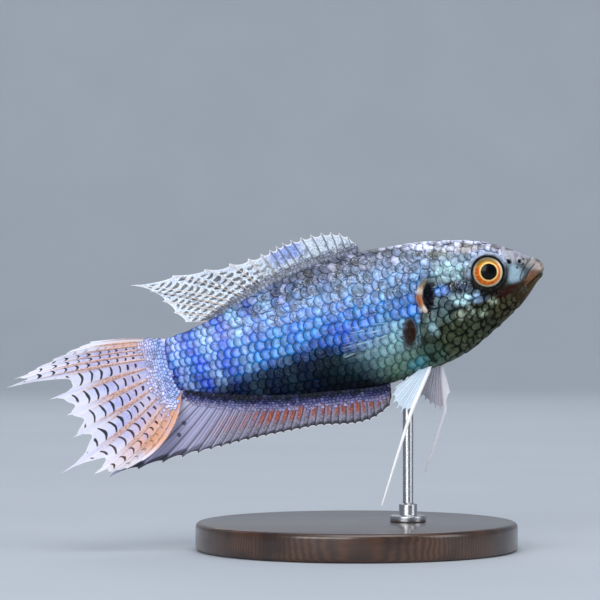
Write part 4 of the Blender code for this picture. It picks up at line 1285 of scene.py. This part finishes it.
colour = washed(
    "#acbcd2",
    ("#e4edf8", 1, (fine, 0.35, 0.65)),
    (over("#5470d2", between(fine, 0.4, 0.6), "#8aa6ea"), 0.85, (number, 5.6, 7.4), (number, 11.6, 9.4),
     (along, 0.4, 0.66), (mottle, 0.34, 0.5, 0.45, 1.0)),  # blue patch
    ("#566070", 0.7, (mottle, 0.5, 0.62), (along, 0.85, 0.6)),  # smudges
    (over("#4c5052", between(fine, 0.4, 0.6), "#9a9cac"), 1, foot),
    ("#17171f", 1, bars["Bar"], (number, 9.0, 13.5), (margin, 0.6, 1.1), (fine, 0.2, 0.5, 0.6, 0.95)),
    (over("#4c5558", between(number, 9.0, 13.5), "#c9b6a8"), 0.8, lines["Line"]),
    ("#eceef4", 1, (margin, 0.3, 0.08)),
)
feed(shader, Base_Color=colour)
finish_piece(dorsal, spotted, "spotted_fin", "dorsal_fin")


# Anal fin: violet at its foot, orange-red streaks half way down, grey below, and a dark edge with a
# thin white hem. Its rearmost rays are drawn out behind the tail fin's lower lobe.
ANAL_SPOTS = ((-24.64, 18.07), (-25.36, 16.36))  # two dark spots, by place on the stand


def anal_notch(k, s):
    return np.where(k < 24, 0.05, 0.07) * sag(s)


ANAL_FLESH = (0.3, 0.5, 2.2, 8)
ANAL_RIPPLE = 0.1
rays = rays_along(ANAL, 1)
anal = build_fin(
    "anal_fin_skin", rays, per_ray=8, rows=26, notch=anal_notch, forked=0.6, ray=0.36,
    ripple=ANAL_RIPPLE, flesh=ANAL_FLESH,
)
sheathe(
    "anal_sheath", rays, ANAL_RIPPLE, levels=np.arange(0.3, 2.5, 0.4), width=0.66,
    shades=("#1e222e", "#3a3c62", "#5e5e90", "#7e7aa8", "#9690b8"), shine=0.1, flesh=ANAL_FLESH,
)
striped, tree, shader = new_material(
    "striped_anal_fin", 0.38, Coat_Weight=0.15, Coat_Roughness=0.2, Specular_IOR_Level=0.25
)
lines = grouped(tree, ray_lines, Width=0.15, Fork_Start=0.4, Fork_Spread=0.16)
place = in_millimetres(tree)
number, along = kept_places(tree, "rays")
margin = attribute(tree, "margin")
fine = noise(place, 3.6, 3.0, 0.6)
stretch = put(tree, "CombineXYZ", times(number, 1.7), times(along, 2.4)).outputs[0]
streak = noise(stretch, 1.0, 2.0, 0.5)
reach = attribute(tree, "reach")
rear = between(number, 22.5, 26.0)
flutes = grouped(tree, ray_lines, Rows=3.0, Width=0.16, Fork_Start=0.9, Fork_Spread=0.0)
fluted = times(between(number, 18.0, 24.0, 0.0, 0.8), between(along, 0.1, 0.35))
hem = maths("MAXIMUM", between(margin, 0.9, 0.3), times(rear, between(margin, 1.8, 1.0)))
colour = washed(
    "#434e8c",
    ("#7c78a8", 1, (along, 0.1, 0.42)),
    ("#75737f", 1, (along, 0.5, 0.75)),
    ("#bdb8d4", 1, (fine, 0.42, 0.62, 0.0, 0.55)),
    (over("#8e3c1c", between(fine, 0.4, 0.6), "#c26836"), 0.85, (streak, 0.36, 0.5), (along, 0.3, 0.46),
     (along, 0.82, 0.6), (number, 26.0, 23.0), (lines["Across"], 0.1, 0.3)),  # rusty streaks
    ("#cac9f0", 0.9, rear),  # the drawn-out rear, with its fine flutes
    ("#55587a", 0.3, fluted),
    ("#d0cde8", 1, flutes["Line"], fluted),
    ("#dedcf6", 0.85, (number, 27.4, 28.4)),
    ("#232a3c", 0.85, (along, 0.16, 0.02)),
    ("#a5a2c2", 1, lines["Line"], (reach, 1.8, 4.0, 0.0, 0.5)),
    ("#20222e", 0.6, (lines["Across"], 0.42, 0.3), (lines["Across"], 0.1, 0.2)),  # beside each ray
    ("#24262c", 0.85, hem, (number, 28.4, 27.4)),  # dark hem
    ("#f3f1f4", 1, (margin, 0.13, 0.06)),
)
side_view = stretched(place, (1, 0, 1))
for spot_x, spot_z in ANAL_SPOTS:
    away = put(tree, "VectorMath", side_view, (spot_x, 0, spot_z), operation="DISTANCE").outputs["Value"]
    spotted_here = between(plus(away, times(fine, 0.2)), 0.52, 0.34, 0.0, 0.8)
    colour = over(colour, spotted_here, "#2c2c44")
feed(shader, Base_Color=colour)
finish_piece(anal, striped, "striped_fin", "anal_fin")


# Tail fin: a wide fan of forked rays with torn, deeply notched edges. Its membranes are lavender with
# black crescents between the rays, its rays orange, its points and upper edge white.
CAUDAL = (  # angle of the root on the stalk, tip, bow, share of the membrane gone after it, fork
    (62, -37.6, 5.75, 0.05, 0.06, 0.0),
    (52, -40.8, 5.25, 0.05, 0.06, 0.02),
    (43, -43.4, 4.65, 0.05, 0.06, 0.02),
    (34, -46.4, 4.00, 0.05, 0.08, 0.03),
    (25, -49.7, 3.30, 0.05, 0.13, 0.03),
    (16, -51.2, 2.40, 0.04, 0.34, 0.04),
    (7, -45.9, -0.80, 0.02, 0.16, 0.05),
    (-3, -44.0, -3.60, -0.03, 0.16, 0.05),
    (-12, -44.1, -6.95, -0.06, 0.25, 0.06),
    (-22, -47.1, -11.5, -0.10, 0.24, 0.06),
    (-32, -42.4, -12.7, -0.15, 0.09, 0.05),
    (-42, -39.9, -13.05, -0.20, 0.07, 0.04),
    (-52, -37.5, -13.1, -0.24, 0.07, 0.03),
    (-63, -34.6, -12.45, -0.28, 0.0, 0.0),
)
CAUDAL_SWING = 0.16  # how far the rays go to the right, as a share of their length
CAUDAL_CURL = 0.006  # how much more, for each millimetre of length
CAUDAL_SINK = 1.1  # how deep their roots lie in the stalk's end
rays = []
back, belly, _, _ = section(TAIL_ROOT)
for turn, tip_x, tip_z, bow, _, _ in CAUDAL:
    turn = math.radians(turn)
    rise = math.sin(turn * 1.24)
    root_x = TAIL_ROOT - (TAIL_REACH - CAUDAL_SINK) * (1 - abs(rise) ** TAIL_SQUARE) ** (1 / TAIL_SQUARE)
    root = np.array((root_x, bend(root_x), (back + belly) / 2 + ((back - belly) / 2 - 0.2) * rise))
    length = math.hypot(tip_x - root_x, tip_z - root[2])
    tip = (tip_x, root[1] - (CAUDAL_SWING + CAUDAL_CURL * length) * length, tip_z)
    curve = bowed(root, tip, bow)
    curve[1][1] = root[1] - CAUDAL_SWING * length / 2
    rays.append(curve)
cut_after = np.array([row[4] for row in CAUDAL])
fork_depth = np.array([row[5] for row in CAUDAL])


def caudal_notch(k, s):
    cut = cut_after[k] * np.clip(4 * s * (1 - s), 0, 1) ** 0.42
    cut += fork_depth[k] * hump(s, 0.055) + fork_depth[k + 1] * hump(1 - s, 0.055)
    return cut + 0.018 * np.sin(9.0 * s + 2.3 * k) * (4 * s * (1 - s))


CAUDAL_FLESH = (0.36, 0.9, 3.8, 2)
CAUDAL_RIPPLE = 0.12
tail = build_fin(
    "caudal_fin_skin", rays, per_ray=18, rows=52, notch=caudal_notch, forked=1.0, ray=0.4,
    ripple=CAUDAL_RIPPLE, flesh=CAUDAL_FLESH,
)
sheathe(
    "caudal_sheath", rays, CAUDAL_RIPPLE, levels=np.arange(0.4, 4.1, 0.36), width=0.56,
    shades=("#a0b2f2", "#b4c0f6", "#c4ccf8", "#d2cef2", "#d6cae6"), shine=0.12, flesh=CAUDAL_FLESH,
    outline=0.18,
)
lilac, tree, shader = new_material("lilac_tail_fin", 0.36, Coat_Weight=0.35, Coat_Roughness=0.2)
lines = grouped(tree, ray_lines, Width=0.3, Fork_Start=0.3, Fork_Spread=0.2)
place = in_millimetres(tree)
number, along = kept_places(tree, "rays")
margin = attribute(tree, "margin")
reach = attribute(tree, "reach")
bow, inset = (between(reach, 4.0, 11.0, 0.2, 0.8), between(reach, 4.0, 10.0, 0.32, 0.15))
bars = grouped(tree, cross_bars, Spacing=0.98, Growth=0.021, Thickness=0.3, Bow=bow, Inset=inset, Drift=0.3)
fine = noise(place, 3.4, 3.0, 0.6)
cloud = noise(place, 0.5, 2.0)
beside = maths("MINIMUM", lines["Across"], minus(1.0, lines["Across"]))
band = washed("#ac7656", ("#deb8a8", 1, (fine, 0.35, 0.65)), ("#ece8f4", 1, (along, 0.6, 0.92)))
colour = washed(
    "#acb4f0",
    ("#d0d4fa", 1, (cloud, 0.35, 0.65)),
    ("#d8daf6", 1, (fine, 0.4, 0.62, 0.0, 0.6)),
    ("#a7b3f0", 0.8, (reach, 5.5, 2.5)),
    ("#d8a08c", 0.26, (reach, 3.0, 6.0), (along, 0.75, 0.35)),
    ("#eae6ea", 0.75, (number, 2.6, 0.6)),  # upper edge
    ("#e8ab80", 1, (number, 2.7, 1.8), (number, 0.5, 0.9), (reach, 3.4, 5.0), (reach, 11.0, 7.0),
     (fine, 0.3, 0.6, 0.3, 0.8)),
    ("#f2a468", 0.9, (number, 8.8, 11.4), (cloud, 0.3, 0.62, 0.45, 1.0)),  # lower lobe
    ("#ecebf8", 0.8, (along, 0.6, 0.92)),  # tips
    ("#d2b0ae", 0.28, (beside, 0.34, 0.12), (reach, 3.0, 5.0), (along, 0.9, 0.6)),
    (band, 1, lines["Line"], (reach, 2.2, 4.4, 0.0, 0.85)),
    (over("#0b0b18", between(number, 8.4, 10.0), "#4a2c1c"), 0.97, bars["Bar"], (number, 1.0, 2.4),
     (number, 12.2, 10.6), (reach, 4.2, 5.2), (margin, 0.45, 0.9)),  # crescents
    ("#eceef4", 1, (margin, 0.45, 0.12)),
)
feed(shader, Base_Color=colour)
finish_piece(tail, lilac, "tail_fin", "caudal_fin")


# Pectoral fins: the clear paddles behind the gill covers, all but invisible save for their rays,
# which catch the light.
PECTORAL = (  # number of the ray, direction from its root, length
    (0, 172, 8.6),
    (4, 183, 10.6),
    (8, 199, 9.8),
    (11, 219, 7.4),
)
PECTORAL_TOP = (6.9, -2.5)  # root of the first ray
PECTORAL_FOOT = (6.3, -5.7)  # root of the last ray
PECTORAL_STAND = 0.35  # how far the tips stand off
PECTORAL_SPREAD = 0.24  # how far more, for each step along a ray
PECTORAL_BOW = 0.25


def skin_at_height(x, z):
    """Sideways distance of the body's outside from its middle at a height."""
    back, belly, half, widest = section(x)
    up = np.minimum(np.abs(z - widest) / np.where(z > widest, back - widest, widest - belly), 1)
    power = np.where(z > widest, smooth(ROUNDNESS, 1, x), smooth(ROUNDNESS, 2, x))
    return half * np.cos(np.arcsin(up)) ** power


clear, tree, shader = new_material("clear_pectoral_fin", 0.3, Coat_Weight=0.15, Coat_Roughness=0.15)
lines = grouped(tree, ray_lines, Width=0.18, Fork_Start=0.3, Fork_Spread=0.22)
number, _ = kept_places(tree, "rays")
streak = noise(stretched(put(tree, "UVMap", uv_map="rays").outputs[0], (0.7, 2.2, 1)), 1.3, 2.0)
colour = over("#6f88e0", between(streak, 0.4, 0.6), "#a9d8ec")
colour = over(colour, lines["Line"], "#bfdff0")
feed(shader, Base_Color=colour)
strong = between(streak, 0.5, 0.64, 0.05, 0.42)
strong = times(strong, between(lines["Along"], 0.2, 0.45), between(number, 7.0, 3.6))
clearness = plus(0.012, times(lines["Line"], strong))
feed(shader, Alpha=clearness)
for side, name in ((1, "left"), (-1, "right")):
    rays = []
    last = PECTORAL[-1][0]
    for k in range(last + 1):
        x = PECTORAL_TOP[0] + (PECTORAL_FOOT[0] - PECTORAL_TOP[0]) * k / last
        z = PECTORAL_TOP[1] + (PECTORAL_FOOT[1] - PECTORAL_TOP[1]) * k / last
        root = np.array((x + 0.3, side * (skin_at_height(x, z) - 0.1), z))
        turn, length = math.radians(float(smooth(PECTORAL, 1, k))), float(smooth(PECTORAL, 2, k))
        reach = np.array((math.cos(turn), side * PECTORAL_SPREAD, math.sin(turn))) * length
        pull = root + reach / 2 + (0, side * (PECTORAL_BOW + PECTORAL_STAND), 0)
        rays.append((root, pull, root + reach + (0, side * PECTORAL_STAND, 0)))
    pectoral = build_fin(
        "pectoral_fin_skin_" + name, rays, per_ray=6, rows=20, notch=lambda k, s: 0.05 * sag(s), forked=1.0,
        ray=0.3, ripple=0.04,
    )
    finish_piece(pectoral, clear, "clear_fin", "pectoral_fin_" + name)


# Pelvic fins: small white fans under the chest, the second ray of each drawn out into a long bristle
# that the fish feels its way with.
PELVIC_SIDE = 1.4
PELVIC = {  # side, front and rear of the root, tips of the rays, bend and end of the bristle
    "right": (-1, (8.7, 7.0), (
        (5.4, -13.6, 3.0), (3.9, -15.4, 3.3), (3.3, -15.1, 3.4), (2.6, -14.9, 3.5),
        (2.1, -14.2, 3.6), (1.8, -13.3, 3.6), (1.9, -12.3, 3.5), (2.6, -11.3, 3.3),
    ), ((0.7, -20.4, 4.2), (-3.3, -26.9, 5.0))),
    "left": (1, (10.3, 8.6), (
        (10.3, -14.2, 2.6), (9.0, -16.5, 3.0), (8.3, -16.3, 3.1), (7.7, -15.9, 3.2),
        (7.1, -15.2, 3.3), (6.6, -14.4, 3.3), (6.1, -13.7, 3.2), (5.8, -13.0, 3.2),
    ), ((7.5, -19.1, 3.9), (4.1, -24.4, 4.7))),
}
PELVIC_COLOURS = {  # membrane, its second tone, rays, behind the front edge, front edge and bristle
    "right": ("#fafdff", "#e8f3fb", "#a9c6dc", "#fbfdff", "#fdfdfd"),
    # The left fin's greyer, pinker colours are painted shade: it lies on the far side, under the belly.
    "left": ("#c6c0d2", "#a8a2b6", "#efebf6", "#caa8a2", "#fbf8ff"),
}
FEELER_RADIUS = 0.3
FEELER_TIP = 0.13  # radius of its end


def feeler(points, radii):
    """A tapering bristle through points, as a mesh with rounded ends."""
    curve = bpy.data.curves.new("feeler", "CURVE")
    curve.dimensions = "3D"
    curve.bevel_depth = MM
    curve.bevel_resolution = 4
    curve.use_fill_caps = True
    spline = curve.splines.new("POLY")
    spline.points.add(len(points) - 1)
    for point, at, radius in zip(spline.points, onto_stand(points), radii):
        point.co = (*at, 1)
        point.radius = radius
    line = bpy.data.objects.new("feeler", curve)
    bpy.context.scene.collection.objects.link(line)
    select(line)
    bpy.ops.object.convert(target="MESH")
    bpy.ops.object.shade_smooth()
    return bpy.context.object


for name, (side, (front, rear), tips, ends) in PELVIC.items():
    pale, tree, shader = new_material("pale_pelvic_fin_" + name, 0.35, Coat_Weight=0.4, Coat_Roughness=0.15)
    lines = grouped(tree, ray_lines, Rows=2.0, Width=0.1, Fork_Start=0.2, Fork_Spread=0.24)
    fine = noise(in_millimetres(tree), 3.0)
    number, _ = kept_places(tree, "rays")
    membrane, tinge, ray, behind, edge = PELVIC_COLOURS[name]
    feed(shader, Base_Color=washed(
        membrane, (tinge, 1, (fine, 0.3, 0.6)), (ray, 0.75, lines["Line"]),
        (behind, 1, (number, 2.2, 1.2, 0.0, 0.8)), (edge, 1, (number, 1.1, 0.5)),
    ))
    rays = []
    for k, (tip_x, tip_z, tip_y) in enumerate(tips):
        x = front + (rear - front) * k / (len(tips) - 1)
        _, belly, half, widest = section(x)
        out = min((PELVIC_SIDE / half) ** (1 / smooth(ROUNDNESS, 2, x)), 1)
        z = widest - (widest - belly) * math.sqrt(1 - out * out)
        rays.append(bowed((x, side * PELVIC_SIDE, z + 0.4), (tip_x, side * tip_y, tip_z), 0.0))
    pelvic = build_fin(
        "pelvic_fin_skin_" + name, rays, per_ray=8, rows=24, notch=lambda k, s: 0.1 * sag(s), forked=1.0,
        ray=0.3, ripple=0.05,
    )
    root, _, tip = rays[1]
    start = root * 0.01 + tip * 0.99
    path = [root * (1 - t) + tip * t for t in np.linspace(0.1, 0.94, 8)]
    middle, end = (np.array((x, side * y, z)) for x, z, y in ends)
    for t in np.linspace(0.06, 1, 24):
        path.append(start * (1 - t) ** 2 + middle * 2 * t * (1 - t) + end * t * t)
    taper = np.linspace(0, 1, len(path)) ** 1.3
    bristle = feeler(path, FEELER_RADIUS + (FEELER_TIP - FEELER_RADIUS) * taper)
    select(bristle, pelvic)
    bpy.ops.object.join()
    finish_piece(pelvic, pale, "pale_fin", "pelvic_fin_" + name)
